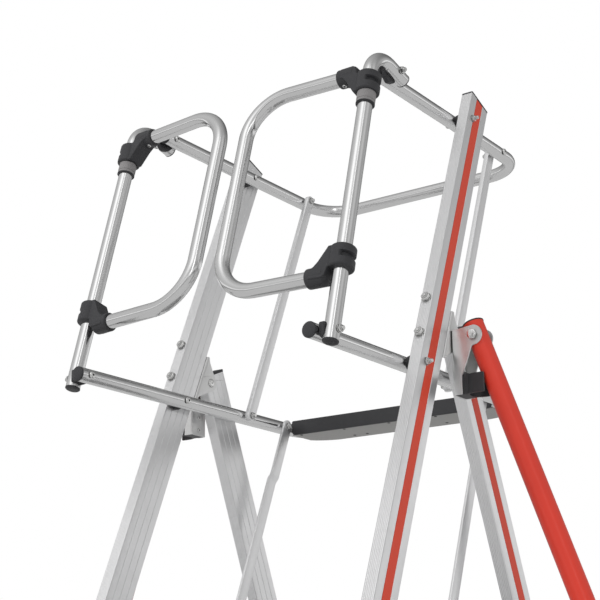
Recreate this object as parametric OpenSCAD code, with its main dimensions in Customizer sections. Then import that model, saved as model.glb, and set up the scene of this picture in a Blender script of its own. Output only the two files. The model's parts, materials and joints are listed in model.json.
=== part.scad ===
// Platform step ladder with a folding guard rail, self-closing gates and side stabilisers.
// Right is +X, the climber comes from -Y, and the feet stand on z = 0.

/* [Front frame] */
// Height of the knee rail's pivots above the floor
knee_z = 2200; // [2000:10:2400]
// Lean of the front stiles from the vertical, in degrees
stile_tilt = 22; // [18:0.5:26]
// Distance from the middle of the ladder to a stile's inner face
stile_in = 303.8; // [290:0.1:340]
// Width of the stile section, side to side
stile_w = 26.5; // [24:0.5:32]
// Depth of the stile section, front to back
stile_d = 73; // [66:1:85]
// Wall of the stile section
stile_wall = 2.5; // [1.5:0.1:4]
// Distance from the stile's front face to its line of pivots
pivot_in = 20.6; // [16:0.1:30]
// Length of stile above the knee rail's pivots, along the stile
stile_top = 705; // [690:1:760]
// Height from one tread to the next
rise = 242; // [230:1:250]
// Depth of a tread, front to back
tread_d = 80; // [70:1:100]
// Height of a tread's section
tread_h = 27; // [22:1:34]
// Height of a shoe under a stile or leg
shoe_h = 55; // [40:1:80]
// Thickness of a shoe's wall
shoe_wall = 4; // [3:0.5:8]

/* [Guard rails] */
// Outside diameter of the rail, gate and post tubes
tube_d = 30; // [28:0.5:34]
// Wall of those tubes
tube_wall = 2; // [1.5:0.1:3]
// Distance from the middle to the axis of a rail's side run
rail_x = 282.5; // [270:0.1:284]
// Height of the hand rail above the knee rail
hand_rise = 596; // [560:1:640]
// Reach of the rails in front of their stile pivots, to the gate post pivots
rail_reach = 298; // [280:1:320]
// Length of knee rail in front of the gate post's pivot
knee_over = 24; // [20:1:30]
// Length of hand rail in front of the gate post's pivot
hand_over = 24; // [20:1:30]
// Reach of the knee rail behind its stile pivot, to the axis of its back run
knee_back = 480; // [460:1:520]
// Reach of the hand rail behind its stile pivot, to the axis of its back run
hand_back = 331; // [320:1:360]
// Bend radius of the rails, on the axis
rail_bend = 90; // [70:1:110]
// Radius of the pivot bolts
bolt_r = 4; // [3:0.5:5]
// Running clearance of a pivot bolt in its bore
run_fit = 0.08; // [0.02:0.01:0.1]
// Gap between flat faces that slide past each other
slide_gap = 0.3; // [0.2:0.05:0.6]

/* [Links] */
// Distance of the upper links behind the stile pivots
upper_link_y = 210.5; // [200:0.5:225]
// Width of an upper link, front to back
upper_link_w = 25; // [20:1:30]
// Thickness of an upper link, side to side
upper_link_t = 12; // [8:1:13]
// Distance of the lower links behind the stile pivots
lower_link_y = 357; // [345:1:365]
// Width of a lower link, front to back
lower_link_w = 28; // [24:1:32]
// Thickness of a lower link
lower_link_t = 6; // [4:0.5:6]
// Depth of a lower link's sideways joggle
joggle = 5; // [3:0.5:5]
// Distance of the joggle below the knee rail, along the link
joggle_s = 134; // [100:1:200]

/* [Gate posts and gates] */
// Distance from the middle to a gate post's axis
post_x = 314.4; // [310:0.1:320]
// Lean of the gate posts from the vertical, in degrees
post_tilt = 14.56; // [12:0.01:18]
// Bend radius at the top of a gate post
post_bend = 60; // [50:1:70]
// Length of post past its lower pivot
post_over = 22; // [18:1:28]
// Length of a post's top end past its upper pivot
stub_over = 30; // [26:1:34]
// Distance from the post's axis to the axis of a gate's upright
gate_w = 284; // [260:1:286]
// Place of a gate's lower bar, along the post
gate_low = 115; // [110:1:140]
// Place of a gate's upper bar, along the post
gate_high = 578; // [560:1:580]
// Bend radius of a gate's corners
gate_bend = 92; // [50:1:100]
// Angle of the left gate in front of the line of the posts, in degrees
gate_left_rest = 4.1; // [0:0.1:6]
// Angle of the right gate in front of the line of the posts, in degrees
gate_right_rest = 2; // [0:0.1:6]
// Radius of a clamp's barrel round the post
barrel_r = 25; // [23:0.5:28]
// Height of a clamp's barrel
barrel_h = 46; // [40:1:52]
// Distance along the post from a clamp's barrel to its socket
clamp_step = 31; // [26:1:36]
// Radius of a clamp's socket round the gate tube
socket_r = 19.5; // [18:0.5:22]
// Distance from the post's axis to the mouth of a clamp's socket
socket_x = 69; // [66:1:80]
// Length of gate tube held in a socket
socket_in = 27; // [20:1:34]
// Height of the spring collar under the upper clamp
collar_h = 26; // [20:1:32]
// Radius of the spring collar
collar_r = 19; // [17.5:0.5:22]

/* [Tool tray] */
// Half of the tray's width
tray_half = 266; // [240:1:267]
// Reach of the tray's front wall behind the stile pivot
tray_front_y = 387; // [380:1:400]
// Height of the tray's front wall above the tray's floor
tray_wall_h = 34; // [25:1:45]
// Thickness of the tray's front wall
tray_wall_t = 4; // [3:0.5:6]
// Thickness of the tray's floor
tray_floor_t = 2; // [1.5:0.5:3]
// Radius of the lower corners of the tray's front wall
tray_corner = 10; // [6:1:16]

/* [Platform] */
// Height of the platform above the floor
platform_z = 1694; // [1600:1:1800]
// Height of the platform's side beams
beam_h = 50; // [40:1:60]
// Width of the platform's side beams
beam_w = 29.5; // [20:0.5:30]
// Reach of the platform in front of its pivots
platform_front = 40; // [30:1:60]
// Height of the deck boards
deck_h = 22; // [18:1:30]
// Number of deck boards
boards = 5; // [3:1:8]

/* [Rear frame] */
// Lean of the rear legs from the vertical, in degrees
leg_tilt = 22.9; // [19:0.1:26]
// Place of the rear legs' hinge along the stile, above the knee rail's pivot
hinge_s = 105.5; // [95:0.5:125]
// Reach of the hinge bracket up the stile from the hinge
hinge_plate_up = 51; // [40:1:70]
// Reach of the hinge bracket down the stile from the hinge
hinge_plate_down = 60; // [50:1:80]
// Distance of the hinge behind the line of pivots, square to the stile
hinge_t = 86.2; // [82:0.1:95]
// Distance from the leg's front face to the hinge axis
hinge_in = 15; // [13:0.5:20]
// Length of leg above the hinge
leg_over = 15.5; // [10:0.5:24]
// Thickness of the hinge brackets' steel
plate_t = 3; // [2:0.5:3]
// Radius of the hinge brackets' nose
nose_r = 18; // [15:1:22]
// Height of the bar under the platform
rest_bar_h = 30; // [25:1:40]
// Depth of the cross bars
bar_d = 40; // [30:1:50]
// Radius of a wheel
wheel_r = 62.5; // [50:0.5:75]
// Width of a wheel
wheel_w = 28; // [24:1:32]
// Height of a wheel above the floor while the ladder stands
wheel_lift = 6; // [3:1:10]
// Gap between the wheel and the shoe of the rear leg
wheel_gap = 1.5; // [1:0.5:10]
// Height of the wheel's fork above the axle
fork_h = 75; // [60:1:110]

/* [Stabilisers] */
// Distance from the middle to a stabiliser's hinge
stab_x = 382; // [370:1:400]
// Outside diameter of the stabiliser tube
stab_d = 42.4; // [38:0.1:48.3]
// Wall of the stabiliser tubes
stab_wall = 2; // [1.5:0.1:3]
// Swing of the stabilisers out from the vertical, in degrees
stab_tilt = 19.6; // [15:0.1:25]
// Length of stabiliser tube above its hinge
stab_over = 30; // [26:1:36]
// Length of stabiliser tube below its hinge
stab_len = 1500; // [1300:10:1700]
// Length of inner tube held in the outer one
stab_lap = 380; // [350:10:500]
// Gap between the inner and the outer tube, on the radius
stab_gap = 0.4; // [0.3:0.1:0.8]
// Radius of the lobes round the stabiliser's hinge
lobe_r = 20; // [17:1:24]
// Reach of the bracket below the stabiliser's hinge
bracket_drop = 116; // [110:1:150]
// Height of the clip that holds a folded stabiliser
clip_h = 39; // [36:1:60]
// Wall of the clip
clip_wall = 5; // [4:0.5:7]
// Play of the stowed tube in its clip
clip_play = 0.4; // [0.3:0.1:1]
// Reach of the clip's stem above the clip, inside the bracket
stem_over = 8; // [6:1:12]
// Radius of a stabiliser's foot pad
pad_r = 45; // [35:1:60]
// Height of the foot's pin above the floor
foot_pin_z = 42; // [36:1:60]

/* [Hidden] */
$fn = 48;

// Colours of the finishes
alu = [0.78, 0.79, 0.80];
alu_dark = [0.62, 0.63, 0.65];
steel = [0.70, 0.70, 0.72];
black = [0.13, 0.13, 0.14];
grey = [0.45, 0.45, 0.47];
red = [0.80, 0.13, 0.10];
eps = 0.01;

// Lines and places worked out from the sizes, from the knee rail's pivot line
tube_r = tube_d / 2;
stile_mid = stile_in + stile_w / 2;
stile_out = stile_in + stile_w;
hand_y = hand_rise * tan(stile_tilt);
hinge_y = hinge_s * sin(stile_tilt) + hinge_t * cos(stile_tilt);
hinge_z = hinge_s * cos(stile_tilt) - hinge_t * sin(stile_tilt);
leg_mid_t = stile_d / 2 - hinge_in;
deck_drop = knee_z - platform_z;
pf_z = -(deck_drop + beam_h / 2);
pf_y = pf_z * tan(stile_tilt);
leg_mid_y = function (z) hinge_y + leg_mid_t / cos(leg_tilt) - (z - hinge_z) * tan(leg_tilt);
rest_z = -deck_drop - beam_h - slide_gap;
rest_y = leg_mid_y(rest_z - rest_bar_h / 2);
platform_back = rest_y + bar_d / 2;
beam_x = stile_in - 3 - beam_w;
upper_in = rail_x - tube_r - 3 - upper_link_t;
lower_in = rail_x - tube_r - 3.5 - lower_link_t;
deck_half = lower_in + joggle - slide_gap - 4;

// Middle of the footprint, so that the origin lies under it
foot_front = -knee_z * tan(stile_tilt) - pivot_in / cos(stile_tilt) - shoe_wall;
axle_z = wheel_r + wheel_lift - knee_z;
axle_y = leg_mid_y(axle_z) + (stile_d / 2 + shoe_wall + wheel_gap + wheel_r) / cos(leg_tilt);
mid_y = (foot_front + axle_y + wheel_r) / 2;

// Gate post, measured along it and square to it from its lower pivot
stub_v = hand_y * cos(post_tilt) - hand_rise * sin(post_tilt);
stub_w = hand_y * sin(post_tilt) + hand_rise * cos(post_tilt);

// Bracket and stabiliser, from the hinge
channel_half = stab_d / 2 + 0.5;
web_x = stile_out + plate_t + 2 * slide_gap;
stab_r = stab_d / 2;
inner_r = stab_r - stab_wall - stab_gap;
foot_q = (knee_z + hinge_z - foot_pin_z) / cos(stab_tilt);
foot_x = stab_x + foot_q * sin(stab_tilt);
spacer_y = channel_half - 7;
spacer_z = -53;

// Frames of reference
module both() { children(); mirror([1, 0, 0]) children(); }
module left() { mirror([1, 0, 0]) children(); }
module at_knee() { translate([0, -mid_y, knee_z]) children(); }
module at_hand() { at_knee() translate([0, hand_y, hand_rise]) children(); }
module at_stile() { at_knee() rotate([-stile_tilt, 0, 0]) children(); }
module at_hinge() { at_knee() translate([0, hinge_y, hinge_z]) children(); }
module at_leg() { at_hinge() rotate([leg_tilt, 0, 0]) children(); }
module at_post() { at_knee() translate([post_x, -rail_reach, 0]) rotate([-post_tilt, 0, 0]) children(); }
module at_stab() { at_hinge() translate([stab_x, 0, 0]) rotate([0, 180 - stab_tilt, 0]) children(); }
module at_foot() { translate([foot_x, hinge_y - mid_y, 0]) children(); }

// Simple forms
module rod_x(x0, x1, r) { translate([x0, 0, 0]) rotate([0, 90, 0]) cylinder(h = x1 - x0, r = r); }
module rod_y(y0, y1, r) { translate([0, y0, 0]) rotate([-90, 0, 0]) cylinder(h = y1 - y0, r = r); }
module hex_x(x0, x1, flats) {
    translate([x0, 0, 0]) rotate([0, 90, 0]) cylinder(h = x1 - x0, d = flats / cos(30), $fn = 6);
}
module elbow(bend_r, r) { rotate_extrude(angle = 90) translate([bend_r, 0]) circle(r = r); }

// A bolt along X: a low head inside, a flanged nut outside
module bolt_x(x_head, x_nut, r = bolt_r, head = 4, nut = 7) {
    union() {
        rod_x(x_head - head, x_head, 2 * r);
        rod_x(x_head - eps, x_nut + nut + 1.5, r);
    }
    difference() {
        union() {
            rod_x(x_nut, x_nut + 2, 2.1 * r);
            hex_x(x_nut + 1.5, x_nut + nut, 3.2 * r);
        }
        rod_x(x_nut - 1, x_nut + nut + 1, r + run_fit / 2);
    }
}

// Round end cap for a tube that ends at z = 0 and runs up from there
module tube_cap(r, wall, head = 4, plug = 14) {
    union() {
        translate([0, 0, -eps]) cylinder(h = plug, r = r - wall - 0.05);
        intersection() {
            translate([0, 0, -head]) cylinder(h = head, r = r);
            translate([0, 0, 1.6 * r - head]) sphere(r = 1.6 * r);
        }
    }
}

// Section of the stiles and legs: a grooved hollow box, in the XY plane, front towards -Y
module stile_section() {
    groove = 1.2;
    half_d = stile_d / 2;
    half_w = stile_w / 2;
    difference() {
        translate([-half_w + 2, -half_d + 2]) soft_box(stile_w - 4, stile_d - 4, 2);
        translate([-half_w + stile_wall, -half_d + stile_wall])
            square([stile_w - 2 * stile_wall, stile_d / 2 - 1.5 * stile_wall]);
        translate([-half_w + stile_wall, stile_wall / 2])
            square([stile_w - 2 * stile_wall, stile_d / 2 - 1.5 * stile_wall]);
        for (k = [-1 : 1])
            translate([-half_w, k * stile_d / 4])
                polygon([[-1, -groove - 1], [groove, 0], [-1, groove + 1]]);
        for (k = [-1, 1])
            translate([half_w, k * stile_d * 0.13])
                polygon([[1, -groove], [-0.6, 0], [1, groove]]);
    }
}

// A rectangle grown by a round edge, from its inner corner
module soft_box(w, d, r) {
    translate([-r, 0]) square([w + 2 * r, d]);
    translate([0, -r]) square([w, d + 2 * r]);
    for (x = [0, w], y = [0, d]) translate([x, y]) circle(r = r);
}

module stile_bores() {
    for (s = [0, hand_rise / cos(stile_tilt)])
        translate([0, 0, s]) rod_x(stile_in - 5, stile_out + 5, bolt_r + run_fit / 2);
    translate([0, 0, pf_z / cos(stile_tilt)]) rod_x(stile_in - 5, stile_out + 5, bolt_r + run_fit / 2);
    for (s = hinge_bolt_s()) translate([stile_mid, 0, s])
        rod_y(-pivot_in - 5, stile_d - pivot_in + 5, bolt_r + run_fit / 2);
}

function hinge_bolt_s() = [hinge_s - 49, hinge_s + 35];

module stile() {
    low = -knee_z / cos(stile_tilt) - stile_d;
    color(alu) difference() {
        at_stile() difference() {
            translate([stile_mid, stile_d / 2 - pivot_in, low])
                linear_extrude(stile_top - low) stile_section();
            stile_bores();
        }
        translate([0, -1500, shoe_wall - 600]) cube([600, 3000, 600]);
    }
}

module stile_caps() {
    color(black) both() at_stile() translate([stile_mid, stile_d / 2 - pivot_in, stile_top]) {
        translate([-stile_w / 2, -stile_d / 2, 0]) cube([stile_w, stile_d, 3.5]);
        for (y = [-stile_d / 4 + 0.3, stile_d / 4 - 0.3])
            translate([-stile_w / 2 + stile_wall + 0.2, y - stile_d / 4 + 1.2 * stile_wall + 0.4, -12])
                cube([stile_w - 2 * stile_wall - 0.4, stile_d / 2 - 2.4 * stile_wall - 0.8, 12 + eps]);
    }
}

// A shoe: a leaning sleeve closed by a flat sole, with grooves across the sole
module shoe(y_mid, tilt, half_depth) {
    run = shoe_h * tan(tilt);
    deep = half_depth / cos(tilt) + shoe_wall;
    slot = half_depth / cos(tilt) + 0.1;
    difference() {
        translate([stile_in - shoe_wall, y_mid, 0]) rotate([90, 0, 90]) linear_extrude(stile_w + 2 * shoe_wall)
            polygon([[-deep, 0], [deep, 0], [deep + run, shoe_h], [-deep + run, shoe_h]]);
        translate([stile_in - 0.1, y_mid, 0]) rotate([90, 0, 90]) linear_extrude(stile_w + 0.2)
            polygon([[-slot + shoe_wall * tan(tilt), shoe_wall], [slot + shoe_wall * tan(tilt), shoe_wall],
                [slot + run + 5 * tan(tilt), shoe_h + 5], [-slot + run + 5 * tan(tilt), shoe_h + 5]]);
        for (k = [-2 : 2]) translate([stile_in - 2 * shoe_wall, y_mid + k * 15 - 1.5, -1])
            cube([stile_w + 4 * shoe_wall, 3, 2.5]);
    }
}

module front_shoes() {
    mid = -knee_z * tan(stile_tilt) + (stile_d / 2 - pivot_in) / cos(stile_tilt) - mid_y;
    color(black) both() shoe(mid, stile_tilt, stile_d / 2);
}

module rear_shoes() {
    color(black) both() shoe(leg_mid_y(-knee_z) - mid_y, -leg_tilt, stile_d / 2);
}

// One tread: a hollow ribbed section between the stiles
module tread(i) {
    z = i * rise;
    y = (z - tread_h / 2 - knee_z) * tan(stile_tilt) + (stile_d / 2 - pivot_in) / cos(stile_tilt) - mid_y;
    ribs = 9;
    pitch = (tread_d - 8) / ribs;
    color(alu) translate([-stile_in, y, z]) rotate([90, 0, 90]) linear_extrude(2 * stile_in)
        difference() {
            union() {
                translate([-tread_d / 2, -tread_h]) square([tread_d, tread_h - 2]);
                translate([-tread_d / 2 + 2, -3]) square([tread_d - 4, 3]);
            }
            for (k = [0 : ribs]) translate([-tread_d / 2 + 4 + k * pitch, 0])
                polygon([[-1.2, 0.1], [1.2, 0.1], [0, -1.6]]);
            for (k = [0, 1]) translate([-tread_d / 2 + 2.5 + k * (tread_d / 2 - 1.25), -tread_h + 2.5])
                square([tread_d / 2 - 3.75, tread_h - 7.5]);
        }
}

// Flat shape of a plate from two points to a round nose
function tangent(p, c, r, side) =
    let (d = norm(p - c), a = atan2(p[1] - c[1], p[0] - c[0]) + side * acos(r / d))
    c + r * [cos(a), sin(a)];

module nose_plate(p1, p2, c, r) {
    polygon([p1, tangent(p1, c, r, -1), tangent(p2, c, r, 1), p2]);
    translate(c) circle(r = r);
}

// Folded steel bracket on the back of a stile: a base and two cheeks beside the leg
module hinge_brackets() {
    back = stile_d - pivot_in;
    c = [hinge_t, hinge_s];
    color(steel) both() at_stile() difference() {
        union() {
            for (x = [stile_in - plate_t - slide_gap, stile_out + slide_gap])
                translate([x, 0, 0]) rotate([90, 0, 90]) linear_extrude(plate_t)
                    nose_plate([back + 0.1, hinge_s + hinge_plate_up], [back + 0.1, hinge_s - hinge_plate_down], c, nose_r);
            translate([stile_in - plate_t - slide_gap, back + 0.1, hinge_s - hinge_plate_down])
                cube([stile_w + 2 * (plate_t + slide_gap), plate_t, hinge_plate_up + hinge_plate_down]);
        }
        translate([0, hinge_t, hinge_s]) rod_x(stile_in - 20, stile_out + 20, bolt_r + 1 + run_fit / 2);
        for (s = hinge_bolt_s()) translate([stile_mid, 0, s]) rod_y(back - 5, back + 10, bolt_r + run_fit / 2);
    }
}

// Bolts of the hinge brackets through the stiles, and the rear legs' hinge bolts
module hinge_bolts() {
    back = stile_d - pivot_in + 0.1 + plate_t;
    color(steel) both() {
        at_stile() for (s = hinge_bolt_s()) translate([stile_mid, 0, s]) rotate([0, 0, -90])
            mirror([1, 0, 0]) translate([0, 0, 0]) {
                union() {
                    rod_x(-back - 4, -back, 2 * bolt_r);
                    rod_x(-back - eps, pivot_in + 12, bolt_r);
                }
                difference() {
                    union() {
                        rod_x(pivot_in, pivot_in + 1.5, 2.55 * bolt_r);
                        hex_x(pivot_in + 1, pivot_in + 10.5, 4.1 * bolt_r);
                    }
                    rod_x(pivot_in - 1, pivot_in + 11, bolt_r + run_fit / 2);
                }
            }
        at_hinge() bolt_x(stile_in - plate_t - slide_gap, web_x + plate_t + slide_gap, bolt_r + 1, 2.2, 8);
    }
}

// Bolts on which the hand rail and the knee rail turn on the stiles
module rail_pivot_bolts() {
    color(steel) both() {
        at_knee() bolt_x(rail_x - tube_r - slide_gap, stile_out);
        at_hand() bolt_x(rail_x - tube_r - slide_gap, stile_out);
    }
}

module platform_pivot_bolts() {
    color(steel) both() at_knee() translate([0, pf_y, pf_z])
        bolt_x(beam_x - slide_gap, stile_out);
}

// Platform: two side beams, a front and a back beam, and two bearers under the boards
module platform_frame() {
    front = pf_y - platform_front;
    low = -deck_drop - beam_h;
    wall = 3;
    cross = 30;
    color(alu_dark) at_knee() difference() {
        union() {
            both() translate([beam_x, front, -deck_drop - beam_h])
                cube([beam_w, platform_back - front, beam_h]);
            for (y = [front, platform_back - cross])
                translate([-beam_x - 1, y, low]) cube([2 * beam_x + 2, cross, beam_h - deck_h]);
            both() translate([deck_half - 35, front + 1, low]) cube([25, platform_back - front - 2, beam_h - deck_h]);
        }
        both() translate([beam_x + wall, front - 1, low + wall])
            cube([beam_w - 2 * wall, platform_back - front + 2, beam_h - 2 * wall]);
        for (y = [front, platform_back - cross])
            translate([-beam_x + 2, y + wall, low + wall])
                cube([2 * beam_x - 4, cross - 2 * wall, beam_h - deck_h - 2 * wall]);
        both() translate([deck_half - 35 + wall, front + wall, low + wall])
            cube([25 - 2 * wall, platform_back - front - 2 * wall, beam_h - deck_h - 2 * wall]);
        both() translate([0, pf_y, pf_z]) rod_x(beam_x - 5, beam_x + beam_w + 5, bolt_r + run_fit);
        both() translate([0, lower_link_y + pf_y, pf_z])
            rod_x(beam_x - 5, beam_x + beam_w + 5, bolt_r + run_fit / 2);
    }
    color(steel) both() at_knee() translate([0, lower_link_y + pf_y, pf_z])
        bolt_x(lower_in + joggle - slide_gap, beam_x + beam_w, bolt_r, 3.5, 2.6);
}

// Deck boards between the side beams, ribbed along X
module platform_deck() {
    front = pf_y - platform_front;
    span = platform_back - front;
    board = (span - (boards - 1) * 2) / boards;
    color(alu) at_knee() for (b = [0 : boards - 1])
        translate([-deck_half, front + b * (board + 2), -deck_drop]) rotate([90, 0, 90])
            linear_extrude(2 * deck_half) difference() {
                translate([0, -deck_h + 0.1]) square([board, deck_h - 0.1]);
                for (k = [1 : floor(board / 8) - 1])
                    translate([k * 8, 0]) polygon([[-1.2, 0.1], [1.2, 0.1], [0, -1.5]]);
                for (k = [0 : 2]) translate([2.5 + k * (board - 2.5) / 3, -deck_h + 2.6])
                    square([(board - 2.5) / 3 - 2.5, deck_h - 7]);
            }
}

// U-shaped rail from two front ends round a back run, on its pivot line
module u_rail(front, back, r) {
    both() {
        translate([rail_x, 0, 0]) rod_y(-front, back - rail_bend, r);
        translate([rail_x - rail_bend, back - rail_bend, 0]) elbow(rail_bend, r);
    }
    translate([0, back, 0]) rod_x(-rail_x + rail_bend, rail_x - rail_bend, r);
}

module rail(front, back, bores) {
    difference() {
        u_rail(front, back, tube_r);
        u_rail(front, back, tube_r - tube_wall);
        for (b = bores) both() translate([0, b[0], 0]) rod_x(rail_x - 20, rail_x + 20, bolt_r + b[1]);
    }
}

module knee_rail() {
    color(alu) at_knee() rail(rail_reach + knee_over, knee_back,
        [[-rail_reach, run_fit], [0, run_fit], [upper_link_y, run_fit / 2], [lower_link_y, run_fit / 2]]);
}

module hand_rail() {
    color(alu) at_hand() rail(rail_reach + hand_over, hand_back,
        [[-rail_reach, run_fit / 2], [0, run_fit], [upper_link_y, run_fit / 2]]);
}

// End caps of both front ends of the knee rail
module knee_rail_caps() {
    color(black) both() at_knee() translate([rail_x, -rail_reach - knee_over, 0]) rotate([-90, 0, 0])
        tube_cap(tube_r, tube_wall);
}

// Round saddle between a rail and the stile, and the hand rail's end caps
module rail_saddle() {
    difference() {
        rod_x(rail_x, stile_in - slide_gap, tube_r + 1);
        translate([rail_x, 0, 0]) rod_y(-40, 40, tube_r + 0.05);
        rod_x(rail_x - 5, stile_in + 5, bolt_r + run_fit);
    }
}

module knee_rail_saddles() { color(black) both() at_knee() rail_saddle(); }

module hand_rail_saddles() {
    color(black) both() at_hand() {
        rail_saddle();
        translate([rail_x, -rail_reach - hand_over, 0]) rotate([-90, 0, 0]) tube_cap(tube_r, tube_wall);
    }
}

// Bolt that carries a link on a rail
module link_pin(link_in) {
    union() {
        rod_x(link_in - 4, link_in, 2 * bolt_r);
        rod_x(link_in - eps, rail_x + tube_r + 4, bolt_r);
    }
    difference() {
        rod_x(rail_x + tube_r, rail_x + tube_r + 4, 1.9 * bolt_r);
        rod_x(rail_x + tube_r - 1, rail_x + tube_r + 5, bolt_r + run_fit / 2);
    }
}

module knee_rail_bolts() {
    color(steel) both() at_knee() {
        translate([0, upper_link_y, 0]) link_pin(upper_in - slide_gap);
        translate([0, lower_link_y, 0]) link_pin(lower_in - slide_gap);
    }
}

module hand_rail_bolts() {
    color(steel) both() at_hand() {
        translate([0, upper_link_y, 0]) link_pin(upper_in - slide_gap);
        translate([0, -rail_reach, 0]) bolt_x(rail_x - tube_r, post_x + tube_r + slide_gap);
    }
}

// Upper links: flat tubes from the hand rail to the knee rail
module upper_links() {
    len = hand_rise / cos(stile_tilt);
    over = upper_link_w / 2;
    wall = 1.5;
    color(alu) both() at_knee() translate([0, upper_link_y, 0]) rotate([-stile_tilt, 0, 0]) difference() {
        union() {
            translate([upper_in, -over, 0]) cube([upper_link_t, upper_link_w, len]);
            for (z = [0, len]) translate([0, 0, z]) rod_x(upper_in, upper_in + upper_link_t, over);
        }
        translate([upper_in + wall, -over + wall, -over - 1])
            cube([upper_link_t - 2 * wall, upper_link_w - 2 * wall, len + 2 * over + 2]);
        for (z = [0, len]) translate([0, 0, z]) rod_x(upper_in - 5, upper_in + upper_link_t + 5, bolt_r + run_fit);
    }
}

// Lower links: flat bars with a joggle, from the knee rail to the platform
module lower_links() {
    len = -pf_z / cos(stile_tilt);
    over = lower_link_w / 2;
    a = lower_in;
    b = lower_in + joggle;
    t = lower_link_t;
    color(alu) both() at_knee() translate([0, lower_link_y, 0]) rotate([-stile_tilt, 0, 0]) difference() {
        union() {
            translate([0, over, 0]) rotate([90, 0, 0]) linear_extrude(lower_link_w)
                polygon([[a, 0], [a, -joggle_s], [b, -joggle_s - 2 * joggle], [b, -len],
                    [b + t, -len], [b + t, -joggle_s - 2 * joggle], [a + t, -joggle_s], [a + t, 0]]);
            rod_x(a, a + t, over);
            translate([0, 0, -len]) rod_x(b, b + t, over);
        }
        for (z = [0, -len]) translate([0, 0, z]) rod_x(a - 5, b + t + 5, bolt_r + run_fit);
    }
}

// Tray floor under the back of the knee rail, drawn to the outside of its bend, with screws
module tray_outline(inset) {
    r = rail_bend + tube_r - inset;
    both() intersection() {
        translate([rail_x - rail_bend, knee_back - rail_bend]) circle(r = r);
        translate([0, tray_front_y]) square([tray_half, knee_back]);
    }
    translate([-rail_x + rail_bend, tray_front_y])
        square([2 * (rail_x - rail_bend), knee_back + tube_r - inset - tray_front_y]);
}

module tool_tray() {
    top = -tube_r - 0.1;
    color(alu_dark) at_knee() difference() {
        translate([0, 0, top - tray_floor_t]) linear_extrude(tray_floor_t) tray_outline(2);
        for (x = [-140, -100, 100, 140]) translate([x, knee_back, top - 5]) cylinder(h = 10, r = 2.5);
    }
    color(steel) at_knee() for (x = [-140, -100, 100, 140]) translate([x, knee_back, top - tray_floor_t - 2]) {
        cylinder(h = 2, r = 4.5);
        cylinder(h = tray_floor_t + 2, r = 2.4);
    }
}

// Front wall of the tray, with a foot over the floor
module tray_front() {
    low = -tube_r - 0.1;
    color(black) at_knee() {
        translate([0, tray_front_y - tray_wall_t, low - tray_floor_t]) {
            translate([-tray_half, 0, tray_corner]) cube([2 * tray_half, tray_wall_t, tray_wall_h - tray_corner]);
            translate([tray_corner - tray_half, 0, 0])
                cube([2 * (tray_half - tray_corner), tray_wall_t, tray_corner + 1]);
            both() translate([tray_half - tray_corner, 0, tray_corner]) rod_y(0, tray_wall_t, tray_corner);
        }
        translate([-tray_half, tray_front_y - eps, low + 0.05]) cube([2 * tray_half, 16, 1.5]);
    }
}

// Gate post: an upright tube with its top bent back beside the hand rail
module post_path(r, extra) {
    translate([0, 0, -post_over - extra]) cylinder(h = post_over + extra + stub_w - post_bend, r = r);
    translate([0, post_bend, stub_w - post_bend]) rotate([0, -90, 0]) rotate([0, 0, -90])
        elbow(post_bend, r);
    translate([0, 0, stub_w]) rod_y(post_bend, stub_v + stub_over + extra, r);
}

module gate_post() {
    color(alu) at_post() difference() {
        post_path(tube_r, 0);
        post_path(tube_r - tube_wall, 1);
        rod_x(-25, 25, bolt_r + run_fit / 2);
        translate([0, stub_v, stub_w]) rod_x(-25, 25, bolt_r + run_fit);
    }
}

module post_caps() {
    color(black) both() at_post() {
        translate([0, 0, -post_over]) tube_cap(tube_r, tube_wall);
        translate([0, stub_v + stub_over, stub_w]) rotate([90, 0, 0]) tube_cap(tube_r, tube_wall);
    }
}

// Saddles between the posts and the rails; each is hollowed to the post
module post_saddles() {
    inner = rail_x + tube_r + slide_gap - post_x;
    color(black) both() at_post() {
        difference() {
            rod_x(inner, 0, tube_r);
            translate([0, 0, -40]) cylinder(h = 80, r = tube_r + 0.05);
            rod_x(-40, 10, bolt_r + run_fit);
        }
        translate([0, stub_v, stub_w]) difference() {
            rod_x(inner, 0, tube_r);
            rod_y(-40, 40, tube_r + 0.05);
            rod_x(-40, 10, bolt_r + run_fit);
        }
    }
}

// Bolts on which the posts turn on the knee rail
module post_bolts() {
    color(steel) both() at_post() bolt_x(-post_x + rail_x - tube_r - slide_gap, tube_r);
}

// Housing of the closing spring under each upper clamp, with its rim
module spring_collars() {
    top = gate_high - clamp_step - barrel_h / 2 - slide_gap;
    color(grey) both() at_post() translate([0, 0, top - collar_h]) difference() {
        union() {
            cylinder(h = collar_h, r = collar_r);
            cylinder(h = 3, r = collar_r + 0.8);
        }
        translate([0, 0, -1]) cylinder(h = collar_h + 2, r = tube_r + 0.05);
    }
}

// Frame of a gate: X runs inwards from the post's axis, Z along the post
module at_gate(rest) { at_post() rotate([0, 0, rest]) mirror([1, 0, 0]) children(); }

module gate_path(r, extra) {
    x0 = socket_x - socket_in - extra;
    for (z = [gate_low, gate_high]) translate([0, 0, z]) rod_x(x0, gate_w - gate_bend, r);
    translate([gate_w, 0, gate_low + gate_bend]) cylinder(h = gate_high - gate_low - 2 * gate_bend, r = r);
    translate([gate_w - gate_bend, 0, gate_high - gate_bend]) rotate([90, 0, 0]) mirror([0, 0, 1])
        elbow(gate_bend, r);
    translate([gate_w - gate_bend, 0, gate_low + gate_bend]) rotate([90, 0, 0]) rotate([0, 0, -90])
        elbow(gate_bend, r);
}

module gate(rest) {
    color(alu) at_gate(rest) difference() {
        gate_path(tube_r, 0);
        gate_path(tube_r - tube_wall, 1);
    }
}

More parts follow.
